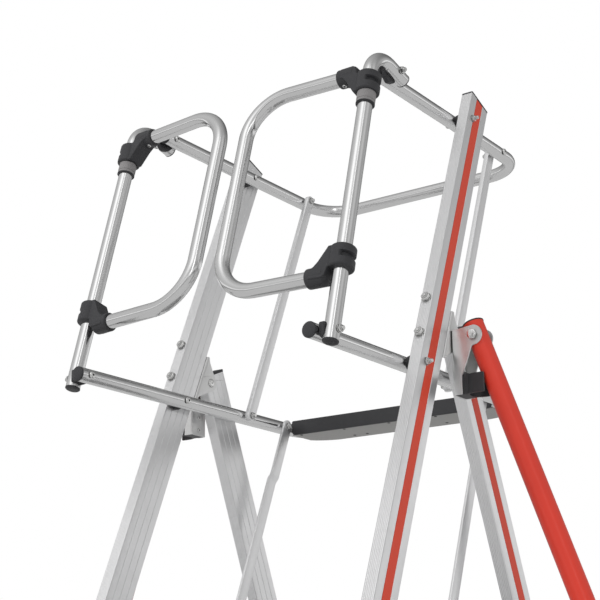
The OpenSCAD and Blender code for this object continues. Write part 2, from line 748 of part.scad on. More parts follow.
// Clamp of a gate: a slotted barrel that turns on the post, an arm and a socket for the gate tube
module gate_clamp(step) {
    b = -step;
    up = sign(b);
    low = b - up * barrel_h / 2;
    high = b + up * barrel_h / 2;
    difference() {
        union() {
            translate([0, 0, b - barrel_h / 2]) cylinder(h = barrel_h, r = barrel_r);
            rod_x(socket_x - 40, socket_x, socket_r);
            translate([0, 17, 0]) rotate([90, 0, 0]) linear_extrude(34)
                polygon([[0, high], [barrel_r - 2, high], [socket_x - 27, up * 23], [socket_x - 17, up * 12],
                    [socket_x - 10, up * 9], [socket_x - 10, -up * 9], [30, -up * 10], [22, -up * 5], [22, low],
                    [0, low]]);
        }
        translate([0, 0, -80]) cylinder(h = 160, r = tube_r + run_fit);
        translate([0, 0, -up * 40 + low]) cylinder(h = 80, r = tube_r + 4, center = true);
        rod_x(socket_x - socket_in - 0.2, socket_x + 5, tube_r + 0.05);
        difference() {
            translate([0, 0, b - 5.6]) cylinder(h = 11.2, r = barrel_r + 5);
            translate([0, 0, b - 7]) cylinder(h = 14, r = barrel_r - 7);
            translate([-9, -50, b - 7]) cube([95, 100, 14]);
        }
    }
}

module gate_clamps(rest) {
    color(black) at_gate(rest) {
        translate([0, 0, gate_high]) gate_clamp(clamp_step);
        translate([0, 0, gate_low]) gate_clamp(-clamp_step);
    }
}

// Rear leg: the stile's section, hung on the hinge bolt
module rear_leg() {
    low = -(knee_z + hinge_z) / cos(leg_tilt) - stile_d;
    color(alu) difference() {
        at_leg() difference() {
            translate([stile_mid, leg_mid_t, low]) linear_extrude(leg_over - low) stile_section();
            rod_x(stile_in - 5, stile_out + 5, bolt_r + 1 + run_fit);
        }
        translate([0, -1500, shoe_wall - 600]) cube([600, 3000, 600]);
    }
}

module rear_leg_caps() {
    color(black) both() at_leg() translate([stile_in, -hinge_in, leg_over]) cube([stile_w, stile_d, 6]);
}

// A cross bar between the legs, along X, at height z over the knee line
module cross_bar(z, h) {
    difference() {
        translate([-stile_in, leg_mid_y(z) - bar_d / 2, z - h / 2]) cube([2 * stile_in, bar_d, h]);
        translate([-stile_in - 1, leg_mid_y(z) - bar_d / 2 + 2, z - h / 2 + 2])
            cube([2 * stile_in + 2, bar_d - 4, h - 4]);
    }
}

function bar_z() = [rest_z - rest_bar_h / 2, -1230, -1860];

module rear_bars() {
    color(alu) at_knee() {
        for (z = bar_z()) cross_bar(z, rest_bar_h);
    }
}

// Two flat braces that cross between the lower bars, one in front of the other
module rear_braces() {
    w = 30;
    t = 4;
    x = stile_in - 4;
    for (k = [0, 1]) {
        back = leg_mid_t + k * (t + slide_gap);
        top = (bar_z()[1] - rest_bar_h / 2 - slide_gap - hinge_z - back * sin(leg_tilt)) / cos(leg_tilt);
        low = (bar_z()[2] + rest_bar_h / 2 + slide_gap - hinge_z - (back - t) * sin(leg_tilt)) / cos(leg_tilt);
        color(alu) at_leg() translate([0, back, 0]) mirror([1 - k, 0, 0]) rotate([90, 0, 0])
            linear_extrude(t) polygon([[-x, low], [-x, low + w], [x, top], [x, top - w]]);
    }
}

// Fork of each wheel: two plates beside the rear leg, and the axle
module wheel_forks() {
    reach = stile_in - plate_t - 0.1;
    color(steel) both() at_knee() {
        difference() {
            union() for (x = [reach, stile_out + 0.1]) translate([x, 0, 0]) rotate([90, 0, 90])
                linear_extrude(plate_t) difference() {
                    nose_plate([leg_mid_y(axle_z + fork_h) - 20, axle_z + fork_h], [leg_mid_y(axle_z + 5) - 20, axle_z + 5],
                        [axle_y, axle_z], 16);
                }
            translate([0, axle_y, axle_z]) rod_x(reach - 5, stile_out + 15, 5.05);
        }
        translate([0, axle_y, axle_z]) {
            rod_x(reach - 4, stile_out + plate_t + 4, 5);
            rod_x(reach - 4, reach - 0.1, 9);
        }
    }
}

module wheel_hub() {
    color(grey) at_knee() translate([stile_mid, axle_y, axle_z]) difference() {
        union() {
            rod_x(-wheel_w / 2 + 3, wheel_w / 2 - 3, wheel_r - 16);
            rod_x(-stile_w / 2 + 0.4, stile_w / 2 - 0.4, 14);
        }
        rod_x(-30, 30, 5 + run_fit);
        for (k = [-1, 1]) translate([k * (wheel_w / 2 - 3), 0, 0]) difference() {
            rod_x(-5, 5, wheel_r - 20);
            rod_x(-6, 6, 18);
        }
    }
}

module wheel_tyre() {
    color(black) at_knee() translate([stile_mid, axle_y, axle_z]) rotate([0, 90, 0]) rotate_extrude()
        difference() {
            union() {
                translate([wheel_r - 15.9, -(stile_w - 1) / 2]) square([10, stile_w - 1]);
                translate([wheel_r - 7, 0]) circle(r = 7);
                translate([wheel_r - 7, -(stile_w - 1) / 2 + 4]) square([3, stile_w - 9]);
            }
        }
}

// Channel on the outside of the rear leg: web and two flanges with round lobes
module flange_shape() {
    narrow = stab_x - stab_r - clip_play - clip_wall - slide_gap;
    top = lobe_r;
    polygon([[web_x, top], [stab_x, top], [stab_x + lobe_r * cos(-30), lobe_r * sin(-30)],
        [stab_x + lobe_r * cos(-70), lobe_r * sin(-70)], [narrow, clip_h - bracket_drop + 2],
        [narrow, -bracket_drop],
        [web_x, -bracket_drop]]);
    translate([stab_x, 0]) circle(r = lobe_r);
}

module stabiliser_brackets() {
    color(steel) both() at_hinge() difference() {
        union() {
            for (y = [-channel_half - plate_t, channel_half])
                translate([0, y + plate_t, 0]) rotate([90, 0, 0]) linear_extrude(plate_t) flange_shape();
            translate([web_x, -channel_half - plate_t, -bracket_drop])
                cube([plate_t, 2 * (channel_half + plate_t), bracket_drop + lobe_r]);
        }
        translate([stab_x, 0, 0]) rod_y(-60, 60, bolt_r + 1 + run_fit / 2);
        rod_x(web_x - 5, web_x + 10, bolt_r + 1 + run_fit);
        for (z = rivet_z()) translate([0, 0, z]) rod_x(web_x - 5, web_x + 10, 2.55);
        translate([0, spacer_y, spacer_z]) rod_x(web_x - 5, web_x + 10, 3.05);
    }
    color(steel) both() at_hinge() translate([0, spacer_y, spacer_z]) {
        difference() {
            rod_x(stile_out + 0.05, web_x - 0.05, 7);
            rod_x(stile_out - 1, web_x + 1, 3.05);
        }
        union() {
            rod_x(stile_out + 0.05, web_x + plate_t + 3, 3);
            rod_x(web_x + plate_t + 0.1, web_x + plate_t + 3, 6);
        }
    }
}

function rivet_z() = [-bracket_drop + 12, -bracket_drop + 40];

// Clip that holds the stabiliser when it hangs down: a cradle open to the outside
module stabiliser_clips() {
    r = stab_r + clip_play;
    out = r + clip_wall;
    color(black) both() at_hinge() translate([0, 0, -bracket_drop]) {
        difference() {
            union() {
                translate([stab_x, 0, 0]) cylinder(h = clip_h, r = out);
                translate([stab_x, -out, 0]) cube([lobe_r, 2 * out, clip_h]);
                translate([web_x + plate_t + 0.1, -channel_half + 0.3, 0])
                    cube([stab_x - r / 2 - web_x - plate_t, 2 * channel_half - 0.6, clip_h]);
                translate([web_x + plate_t + 0.1, -channel_half + 0.3, 0])
                    cube([stab_x - out - web_x - plate_t, 2 * channel_half - 0.6, clip_h + stem_over]);
            }
            translate([stab_x, 0, -1]) cylinder(h = clip_h + 2, r = r);
            translate([stab_x, -r, -1]) cube([60, 2 * r, clip_h + 2]);
            for (z = rivet_z()) translate([0, 0, z + bracket_drop]) rod_x(web_x, web_x + plate_t + 9, 2.55);
        }
    }
}

module clip_rivets() {
    color(steel) both() at_hinge() for (z = rivet_z()) translate([0, 0, z]) {
        rod_x(web_x - 1.5, web_x - eps, 4);
        rod_x(web_x - 0.5, web_x + plate_t + 8, 2.5);
    }
}

// Hinge bolts of the stabilisers, along Y
module stabiliser_bolts() {
    y = channel_half + plate_t;
    color(steel) both() at_hinge() translate([stab_x, 0, 0]) rotate([0, 0, 90]) bolt_x(-y, y, bolt_r + 1, 4, 8);
}

// Stabiliser tubes: Z runs down along the tube from its hinge
module stabiliser_tube() {
    color(red) at_stab() difference() {
        translate([0, 0, -stab_over]) cylinder(h = stab_over + stab_len, r = stab_r);
        translate([0, 0, -stab_over - 1]) cylinder(h = stab_over + stab_len + 2, r = stab_r - stab_wall);
        rod_y(-60, 60, bolt_r + 1 + run_fit);
    }
}

// Cap on the top of the outer tube, and the clamp with its knob at the bottom
module stabiliser_fittings() {
    ring = 34;
    color(black) at_stab() translate([0, 0, -stab_over]) tube_cap(stab_r, stab_wall, 4, 12);
    color(black) at_stab() translate([0, 0, stab_len - ring]) {
        difference() {
            union() {
                cylinder(h = ring + 8, r = stab_r + 4);
                translate([-stab_r - 16, -9, 6]) cube([18, 18, ring - 10]);
            }
            translate([0, 0, -1]) cylinder(h = ring + 1, r = stab_r + 0.05);
            cylinder(h = ring + 10, r = inner_r + stab_gap);
        }
        translate([0, 0, ring / 2 + 1]) {
            rod_x(-stab_r - 24, -stab_r - 16.1, 4);
            rod_x(-stab_r - 42, -stab_r - 24, 15);
        }
    }
}

module stabiliser_leg() {
    color(alu) at_stab() difference() {
        union() {
            translate([0, 0, stab_len - stab_lap]) difference() {
                cylinder(h = foot_q - stab_len + stab_lap - 22, r = inner_r);
                translate([0, 0, -1]) cylinder(h = foot_q - stab_len + stab_lap - 40, r = inner_r - stab_wall);
            }
            translate([-10, -6, foot_q - 24]) cube([20, 12, 24]);
            translate([0, 0, foot_q]) rod_y(-6, 6, 10);
        }
        translate([0, 0, foot_q]) rod_y(-30, 30, bolt_r + 1 + run_fit);
    }
}

// Foot: rubber pad, steel dish with two ears, and its pin
module stabiliser_foot() {
    ear = foot_pin_z + 11;
    color(black) at_foot() {
        difference() {
            cylinder(h = 10, r = pad_r);
            for (k = [-2 : 2]) translate([k * 16 - 1.5, -pad_r, -1]) cube([3, 2 * pad_r, 3]);
        }
    }
    color(steel) at_foot() difference() {
        union() {
            translate([0, 0, 10]) cylinder(h = 4, r = pad_r - 4);
            for (y = [-10.3, 6.3]) translate([-12, y, 13]) cube([24, 4, foot_pin_z - 13]);
            for (y = [-10.3, 6.3]) translate([0, y, foot_pin_z]) rod_y(0, 4, 12);
        }
        translate([0, 0, foot_pin_z]) rod_y(-30, 30, bolt_r + 1 + run_fit / 2);
    }
    color(steel) at_foot() translate([0, 0, foot_pin_z]) {
        rod_y(-13, 13, bolt_r + 1);
        rod_y(-14.5, -10.4, bolt_r + 3.5);
    }
}

left() stile();  // stile_left
stile();  // stile_right
stile_caps();
front_shoes();
tread(1);  // tread_1
tread(2);  // tread_2
tread(3);  // tread_3
tread(4);  // tread_4
tread(5);  // tread_5
tread(6);  // tread_6
hinge_brackets();
hinge_bolts();
rail_pivot_bolts();
platform_pivot_bolts();
platform_frame();
platform_deck();
knee_rail();
knee_rail_caps();
knee_rail_saddles();
knee_rail_bolts();
tool_tray();
tray_front();
hand_rail();
hand_rail_saddles();
hand_rail_bolts();
upper_links();
lower_links();
left() gate_post();  // gate_post_left
gate_post();  // gate_post_right
post_caps();
post_saddles();
post_bolts();
spring_collars();
left() gate(gate_left_rest);  // gate_left
left() gate_clamps(gate_left_rest);  // gate_left_clamps
gate(gate_right_rest);  // gate_right
gate_clamps(gate_right_rest);  // gate_right_clamps
left() rear_leg();  // rear_leg_left
rear_leg();  // rear_leg_right
rear_leg_caps();
rear_shoes();
rear_bars();
rear_braces();
wheel_forks();
left() wheel_tyre();  // wheel_left_tyre
left() wheel_hub();  // wheel_left_hub
wheel_tyre();  // wheel_right_tyre
wheel_hub();  // wheel_right_hub
stabiliser_brackets();
stabiliser_clips();
clip_rivets();
stabiliser_bolts();
left() stabiliser_tube();  // stabiliser_tube_left
stabiliser_tube();  // stabiliser_tube_right
left() stabiliser_fittings();  // stabiliser_fittings_left
stabiliser_fittings();  // stabiliser_fittings_right
left() stabiliser_leg();  // stabiliser_leg_left
stabiliser_leg();  // stabiliser_leg_right
left() stabiliser_foot();  // stabiliser_foot_left
stabiliser_foot();  // stabiliser_foot_right
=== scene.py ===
"""A platform step ladder with a folding guard rail, gates and side stabilisers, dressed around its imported
frame."""
import json
import math

import bmesh
import bpy
import numpy as np
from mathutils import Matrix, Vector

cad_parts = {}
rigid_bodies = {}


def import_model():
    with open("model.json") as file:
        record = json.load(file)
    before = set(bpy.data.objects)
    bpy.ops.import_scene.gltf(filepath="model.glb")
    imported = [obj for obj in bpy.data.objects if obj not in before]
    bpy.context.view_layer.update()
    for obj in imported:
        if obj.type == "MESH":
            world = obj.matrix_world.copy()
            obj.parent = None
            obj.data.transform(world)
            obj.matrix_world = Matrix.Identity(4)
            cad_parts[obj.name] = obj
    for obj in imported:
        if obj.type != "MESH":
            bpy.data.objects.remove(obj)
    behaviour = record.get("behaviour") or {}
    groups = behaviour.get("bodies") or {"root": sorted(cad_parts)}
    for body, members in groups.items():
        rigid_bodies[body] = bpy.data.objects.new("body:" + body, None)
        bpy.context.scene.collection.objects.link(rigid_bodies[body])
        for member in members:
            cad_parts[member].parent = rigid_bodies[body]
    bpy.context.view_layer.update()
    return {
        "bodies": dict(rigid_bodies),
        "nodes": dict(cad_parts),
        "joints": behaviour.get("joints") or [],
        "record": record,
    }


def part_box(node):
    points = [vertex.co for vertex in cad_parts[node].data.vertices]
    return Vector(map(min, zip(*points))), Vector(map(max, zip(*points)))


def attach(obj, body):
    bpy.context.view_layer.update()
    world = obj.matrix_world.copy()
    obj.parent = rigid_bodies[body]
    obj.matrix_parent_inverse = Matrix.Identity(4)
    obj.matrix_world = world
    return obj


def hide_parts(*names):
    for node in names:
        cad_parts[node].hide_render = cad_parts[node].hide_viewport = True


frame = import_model()

# The studio
# The camera stands in front of the climber's right-hand stile, about as high as a person's eyes, and looks up
# at the guard rails. The picture is 600 by 600, and its principal point lies up and left of its middle.
MM = 0.001
PICTURE = 600  # pixels, each way
EYE = np.array([1624.7, -2234.0, -635.7]) * MM  # from the middle of the knee rail's pivots
LOOK_UP, LOOK_LEFT = math.radians(19.05), math.radians(36.38)
FOCAL = 1367.98  # pixels
CENTRE = (279.24, 238.24)  # the principal point, in pixels
joints = {j["name"]: j for j in frame["joints"]}


def pivot(joint):
    """A joint's place on the ladder."""
    return np.array(joints[joint]["pos_m"], float)


knee = pivot("knee_rail_fold")
bpy.ops.object.camera_add(location=knee + EYE, rotation=(math.pi / 2 + LOOK_UP, 0, LOOK_LEFT))
camera = bpy.context.object
camera.name = "camera"
camera.data.sensor_width = 36
camera.data.lens = 36 * FOCAL / PICTURE
camera.data.shift_x = 0.5 - CENTRE[0] / PICTURE
camera.data.shift_y = CENTRE[1] / PICTURE - 0.5
camera.data.clip_end = 200
bpy.context.scene.camera = camera
bpy.context.scene.view_settings.view_transform = "Standard"


class Sock:
    """A shader socket in arithmetic: each operator adds one Math node and gives its output."""

    def __init__(self, tree, out):
        self.tree, self.out = tree, out

    def math(self, operation, *values):
        made = self.tree.nodes.new("ShaderNodeMath")
        made.operation = operation
        for socket, value in zip(made.inputs, values):
            feed(self.tree, socket, value)
        return Sock(self.tree, made.outputs[0])

    def __add__(self, other):
        return self.math("ADD", self, other)

    def __sub__(self, other):
        return self.math("SUBTRACT", self, other)

    def __rsub__(self, other):
        return self.math("SUBTRACT", other, self)

    def __mul__(self, other):
        return self.math("MULTIPLY", self, other)

    def __pow__(self, other):
        return self.math("POWER", self, other)

    __radd__ = __add__
    __rmul__ = __mul__


def feed(tree, socket, value):
    """Links a Sock to a socket, or sets a plain value on it."""
    if isinstance(value, Sock):
        tree.links.new(value.out, socket)
    else:
        socket.default_value = value


class Finish:
    """A material or the world, with its node tree; node() makes any node with its sockets. The slot is not
    used.
    """

    def __init__(self, name, slot=None, world=False):
        self.data = bpy.data.worlds.new(name) if world else bpy.data.materials.new(name)
        self.data.use_nodes = True
        self.tree = self.data.node_tree
        self.tree.nodes.clear()

    def node(self, kind, sockets=(), out=0, **settings):
        made = self.tree.nodes.new("ShaderNode" + kind)
        for key, value in settings.items():
            setattr(made, key, value)
        for key, value in dict(sockets).items():
            feed(self.tree, made.inputs[key], value)
        return Sock(self.tree, made.outputs[out])

    def blend(self, factor, a, b):
        """Mixes two colours by a factor from 0 to 1."""
        return self.node("Mix", {0: factor, 6: a, 7: b}, out=2, data_type="RGBA")

    def surface(self, shader):
        out = self.tree.nodes.new("ShaderNodeOutputMaterial")
        self.tree.links.new(shader.out, out.inputs["Surface"])
        return self.data

    def principled(self, sockets):
        """Ends the material in one Principled shader with these sockets."""
        return self.surface(self.node("BsdfPrincipled", sockets))


# The walls and ceiling are one even tent. What metal mirrors of it is grey, with a bright sheet in front and
# overhead, a smaller one on the right, a pale band along the horizon, and a dim back, which gives tubes their
# bands.
TENT_LIGHT = 0.80
world = Finish("tent", world=True)
path = world.tree.nodes.new("ShaderNodeLightPath")
seen = Sock(world.tree, path.outputs["Is Camera Ray"])
mirrored = Sock(world.tree, path.outputs["Is Glossy Ray"])
through = Sock(world.tree, path.outputs["Is Transmission Ray"])
way = world.node("TexCoord")


def lobe(x, y, z, sharpness):
    """How near a direction is to (x, y, z): the cosine between the two, raised to a power."""
    length = math.sqrt(x * x + y * y + z * z)
    aim = (x / length, y / length, z / length)
    cosine = world.node("VectorMath", {0: way, 1: aim}, out=1, operation="DOT_PRODUCT")
    return cosine.math("MAXIMUM", cosine, 0.0) ** sharpness


split = world.tree.nodes.new("ShaderNodeSeparateXYZ")
feed(world.tree, split.inputs[0], way)
high = Sock(world.tree, split.outputs[2])
above = (high - 0.13) * 10.0
horizon = above.math("MAXIMUM", 1 - above * above, 0.0)
below = high.math("MAXIMUM", 1 - high * high * 256.0, 0.0)
tone = 0.46 + lobe(0, -0.72, 0.69, 16) * 0.95 + lobe(-0.6, -0.5, 0.62, 6) * 0.18
tone = tone + lobe(0.86, 0.10, 0.49, 22) * 0.34 + horizon * 0.52 - below * 0.25
tone = tone - lobe(0.99, 0.10, 0.12, 12) * 0.34 - lobe(0.25, 0.72, 0.62, 5) * 0.26
tone = tone + lobe(0.52, 0.83, 0.20, 14) * 0.24
# A narrow upright strip light on the right draws the thin bright line on round paint and tube.
east, south = Sock(world.tree, split.outputs[0]), Sock(world.tree, split.outputs[1]) * -1.0
level = (east * east + south * south).math("SQRT", east * east + south * south)
facing = (east + south).math("DIVIDE", (east + south) * 0.7071, level)
strip = facing.math("MAXIMUM", facing, 0.0) ** 260.0 * (1 - (high - 0.42) * (high - 0.42) * 5.0)
tone = tone + strip.math("MAXIMUM", strip, 0.0) * 1.9 - lobe(-0.38, 0.80, 0.46, 9) * 0.26
even = world.node("Background", {"Color": (1, 1, 1, 1), "Strength": TENT_LIGHT})
banded = world.node("Background", {"Color": (1, 1, 1, 1), "Strength": tone})
white = world.node("Background", {"Color": (1, 1, 1, 1), "Strength": 1.0})
lit = world.node("MixShader", {0: mirrored, 1: even, 2: banded})
shown = world.node("MixShader", {0: seen.math("MAXIMUM", seen, through), 1: lit, 2: white})
sky_out = world.tree.nodes.new("ShaderNodeOutputWorld")
world.tree.links.new(shown.out, sky_out.inputs["Surface"])
bpy.context.scene.world = world.data


def lamp(name, place, aim, size, watts):
    """A square soft box at place, turned to face aim; metal mirrors the tent alone."""
    data = bpy.data.lights.new(name, "AREA")
    data.size, data.energy = size, watts
    made = bpy.data.objects.new(name, data)
    made.location = place
    forward = np.array(aim, float) - np.array(place, float)
    tilt = math.acos(-forward[2] / np.linalg.norm(forward))
    made.rotation_euler = (tilt, 0, math.atan2(forward[1], forward[0]) - math.pi / 2)
    made.visible_glossy = False
    bpy.context.collection.objects.link(made)


lamp("key", (-3.2, -4.2, 4.8), (0, 0, 1.8), 3.0, 190)
lamp("fill", (4.5, -3.0, 2.6), (0, 0, 1.8), 3.0, 60)

# The floor is a sheet of matt white paper that runs far past the picture.
FLOOR_REACH = 30.0
floor_mesh = bpy.data.meshes.new("floor")
corners = [(x * FLOOR_REACH, y * FLOOR_REACH, -0.5 * MM) for x, y in ((-1, -1), (1, -1), (1, 1), (-1, 1))]
floor_mesh.from_pydata(corners, [], [(0, 1, 2, 3)])
floor = bpy.data.objects.new("floor", floor_mesh)
bpy.context.collection.objects.link(floor)
paper = Finish("paper")
grain = paper.node("TexNoise", {"Vector": paper.node("TexCoord", out=3), "Scale": 3.0, "Detail": 3.0})
whites = paper.blend(grain, (0.86, 0.86, 0.86, 1), (0.90, 0.90, 0.90, 1))
matt = paper.node("BsdfPrincipled", {"Base Color": whites, "Roughness": 0.9})
dim = paper.node("Emission", {"Color": (1, 1, 1, 1), "Strength": 0.60})
ray = paper.tree.nodes.new("ShaderNodeLightPath").outputs
from_metal, from_camera = Sock(paper.tree, ray["Is Glossy Ray"]), Sock(paper.tree, ray["Is Camera Ray"])
lit_paper = paper.node("MixShader", {0: from_metal, 1: matt, 2: dim})
# The camera sees the paper fade to pure white between 3 and 10 m out, so its far edge doesn't show.
away = paper.node("VectorMath", {0: paper.node("TexCoord", out=3)}, out=1, operation="LENGTH")
faded = away.math("MAXIMUM", away.math("MINIMUM", (away - 3.0) * 0.14, 1.0), 0.0) * from_camera
pure = paper.node("Emission", {"Color": (1, 1, 1, 1), "Strength": 1.0})
floor_mesh.materials.append(paper.surface(paper.node("MixShader", {0: faded, 1: lit_paper, 2: pure})))

# The rail tubes
# Both rails are one length of 30 mm aluminium tube each, bent to a U with 90 mm corners and pressed a little
# flat where a bolt goes through. They are drawn tube, so fine lines run along them.
TUBE_R = 15 * MM
RAIL_X = 282.5 * MM
REACH = 298 * MM  # from the stile pivots forward to the gate posts
OVERHANG = 24 * MM  # of tube in front of the gate posts
RAIL_BEND = 90 * MM
KNEE_BACK, HAND_BACK = 480 * MM, 331 * MM  # from the stile pivots back to the back runs
DENT, DENT_SPREAD = 1.3 * MM, 9 * MM
AROUND = 40  # points round a tube

hand = pivot("hand_rail_fold")


def rounded(corners, radii, step=4 * MM):
    """A polyline whose inner corners are arcs: each arc meets both sides at radius / tan(half the corner's
    angle)."""
    corners = np.array(corners, float)
    out = [corners[0]]
    for a, b, c, r in zip(corners[:-2], corners[1:-1], corners[2:], radii):
        u, v = (a - b) / np.linalg.norm(a - b), (c - b) / np.linalg.norm(c - b)
        half = math.acos(np.clip(u @ v, -1, 1)) / 2
        centre = b + (u + v) / np.linalg.norm(u + v) * r / math.sin(half)
        turn = math.pi - 2 * half
        n = max(3, int(r * turn / step * 1.5))
        x = (b + u * r / math.tan(half) - centre) / r
        y = -u
        t = np.linspace(0, turn, n)[:, None]
        out.extend(centre + r * (np.cos(t) * x + np.sin(t) * y))
    out.append(corners[-1])
    out = np.array(out)
    gaps = np.linalg.norm(np.diff(out, axis=0), axis=1)
    keep = [out[:1]]
    for p, q, gap in zip(out[:-1], out[1:], gaps):
        if gap > 1e-9:
            n = max(1, int(gap / (6 * step)))
            keep.append(p + (q - p) * np.linspace(0, 1, n + 1)[1:, None])
    return np.concatenate(keep)


def finer(line, places, reach=14 * MM, step=1.5 * MM):
    """Adds points to a polyline within reach of each given distance along it."""
    run = np.concatenate([[0], np.cumsum(np.linalg.norm(np.diff(line, axis=0), axis=1))])
    more = [np.arange(p - reach, p + reach, step) for p in places]
    at = np.unique(np.round(np.concatenate([run, *more]).clip(0, run[-1]), 6))
    return np.stack([np.interp(at, run, line[:, k]) for k in range(3)], axis=1)


def grid(points, uv=None):
    """A surface from an array of rows of points, each row a loop: quads run round and between the rows."""
    rows, cols = points.shape[:2]
    i, j = np.meshgrid(np.arange(rows - 1), np.arange(cols), indexing="ij")
    k = (j + 1) % cols
    quads = np.stack([i * cols + j, i * cols + k, (i + 1) * cols + k, (i + 1) * cols + j], -1).reshape(-1, 4)
    if uv is None:
        along = np.linalg.norm(np.diff(points, axis=0), axis=2).mean(1).cumsum()
        across = np.linalg.norm(np.diff(points[rows // 2], axis=0), axis=1).cumsum()
        across = np.append(across, across[-1] * cols / (cols - 1))
        uv = np.concatenate([[0], along]), np.concatenate([[0], across])
    u, v = uv
    around = ((0, 0), (0, 1), (1, 1), (1, 0))
    corners = np.stack([np.stack([u[i + a], v[j + b]], -1) for a, b in around], 2)
    return points.reshape(-1, 3), quads.tolist(), corners.reshape(-1, 2)


def lid(points, row):
    """One flat face over the first or last row of a grid of looped rows."""
    rows, cols = points.shape[:2]
    first = 0 if row == 0 else (rows - 1) * cols
    order = list(range(first, first + cols))
    return order[::-1] if row == 0 else order


def shell(points, uv=None):
    """A closed body: a grid of looped rows with a lid on either end."""
    verts, faces, map_uv = grid(points, uv)
    for row in (0, -1):
        faces.append(lid(points, row))
        map_uv = np.concatenate([map_uv, np.zeros((points.shape[1], 2))])
    return verts, faces, map_uv


def swept(line, flat, dents=()):
    """A tube: a circle carried along a plane curve, pressed in at both sides near each dent's distance
    along it."""
    line = finer(line, dents) if len(dents) else line
    ahead = np.gradient(line, axis=0)
    ahead /= np.linalg.norm(ahead, axis=1, keepdims=True)
    flat = np.array(flat, float)
    side = np.cross(ahead, flat)
    side /= np.linalg.norm(side, axis=1, keepdims=True)
    run = np.concatenate([[0], np.cumsum(np.linalg.norm(np.diff(line, axis=0), axis=1))])
    press = sum((np.exp(-(((run - p) / DENT_SPREAD) ** 2)) for p in dents), np.zeros(len(run)))
    a = np.linspace(0, 2 * np.pi, AROUND, endpoint=False)
    r = TUBE_R - DENT * press[:, None] * np.cos(a) ** 4
    ring = r[..., None] * (np.cos(a)[None, :, None] * side[:, None] + np.sin(a)[None, :, None] * flat)
    points = line[:, None] + ring
    return shell(points, (run, np.linspace(0, 2 * np.pi * TUBE_R, AROUND + 1)))


def joined(shells):
    """Puts several shells into one set of points, faces and map corners."""
    verts, faces, uvs, start = [], [], [], 0
    for v, f, uv in shells:
        verts.append(np.asarray(v, float))
        faces.extend([[i + start for i in face] for face in f])
        uvs.append(uv)
        start += len(v)
    return np.concatenate(verts), faces, np.concatenate(uvs)


def mirrored_x(shells):
    """The same shells on the other side of the ladder."""
    return [(np.asarray(v) * [-1, 1, 1], f, uv) for v, f, uv in shells]


def piece(name, shells, finish, body, nodes=(), crease=32, bevel=0.0):
    """Makes a piece from its shells, faces outwards, gives it its finish and ties it to its body."""
    verts, faces, uv = joined(shells)
    mesh = bpy.data.meshes.new(name)
    mesh.from_pydata(verts.tolist(), [], faces)
    layer = mesh.uv_layers.new(name="along")
    layer.data.foreach_set("uv", np.asarray(uv, float).ravel())
    work = bmesh.new()
    work.from_mesh(mesh)
    bmesh.ops.remove_doubles(work, verts=work.verts, dist=1e-6)
    bmesh.ops.recalc_face_normals(work, faces=work.faces)
    work.to_mesh(mesh)
    work.free()
    mesh.shade_smooth()
    mesh.set_sharp_from_angle(angle=math.radians(crease))
    mesh.materials.append(finish)
    made = bpy.data.objects.new(name, mesh)
    bpy.context.collection.objects.link(made)
    if bevel:
        edge = made.modifiers.new("edges", "BEVEL")
        edge.width, edge.segments, edge.limit_method = bevel, 2, "ANGLE"
        edge.angle_limit, edge.harden_normals = math.radians(35), True
    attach(made, body)
    if nodes:
        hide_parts(*nodes)
    return made


def both_sides(name, shells, body, nodes=(), finish=None, **more):
    """A piece and its mirror image on the left, in the zinc of the bolts unless a finish is given."""
    return piece(name, shells + mirrored_x(shells), finish or zinc, body, nodes, **more)


def drawn_metal(name, colour, streaks, rough, base_dark=0.84, by_map=True, axis=0):
    """Drawn aluminium: fine bright and dull lines along the metal, slow clouds and light handling marks."""
    look = Finish(name, "aluminium")
    place = look.node("TexCoord", out=2 if by_map else 3)
    stretch = [streaks] * 3
    stretch[axis] = 2.5 if by_map else 3.0
    drawn = look.node("Mapping", {"Vector": place, "Scale": tuple(stretch)})
    lines = look.node("TexNoise", {"Vector": drawn, "Scale": 1.0, "Detail": 4.0, "Roughness": 0.65})
    clouds = look.node("TexNoise", {"Vector": look.node("TexCoord", out=3), "Scale": 14.0, "Detail": 3.0})
    marks = look.node("TexNoise", {"Vector": look.node("TexCoord", out=3), "Scale": 90.0, "Detail": 2.0})
    marks = marks**6.0
    dark = tuple(c * base_dark for c in colour)
    tint = look.blend(lines * 0.6 + clouds * 0.4, (*dark, 1), (*colour, 1))
    gloss = lines * 0.16 + clouds * 0.10 + marks * 0.3 + (rough - 0.13)
    bump = look.node("Bump", {"Height": lines, "Strength": 0.10, "Distance": 0.0004})
    return look.principled({"Base Color": tint, "Metallic": 1.0, "Roughness": gloss, "Normal": bump})


tube_alu = drawn_metal("drawn_tube", (0.82, 0.82, 0.82), 700, 0.15)


def rail(at, back, bolts):
    """One rail round the platform, with its dents at the bolts on both of its sides."""
    front, corner = -REACH - OVERHANG, [RAIL_X, back, 0]
    ends = [[RAIL_X, front, 0], corner, [-RAIL_X, back, 0], [-RAIL_X, front, 0]]
    line = rounded(ends, [RAIL_BEND, RAIL_BEND])
    whole = np.linalg.norm(np.diff(line, axis=0), axis=1).sum()
    dents = [b - front for b in bolts]
    return swept(line + at, (0, 0, 1), dents=dents + [whole - d for d in dents])


UPPER_LINK = 210.5 * MM
LOWER_LINK = 357 * MM
piece("knee_rail_tube", [rail(knee, KNEE_BACK, [-REACH, 0, UPPER_LINK, LOWER_LINK])], tube_alu,
    "knee_guard", ["knee_rail"])
piece("hand_rail_tube", [rail(hand, HAND_BACK, [-REACH, 0, UPPER_LINK])], tube_alu, "hand_guard",
    ["hand_rail"])

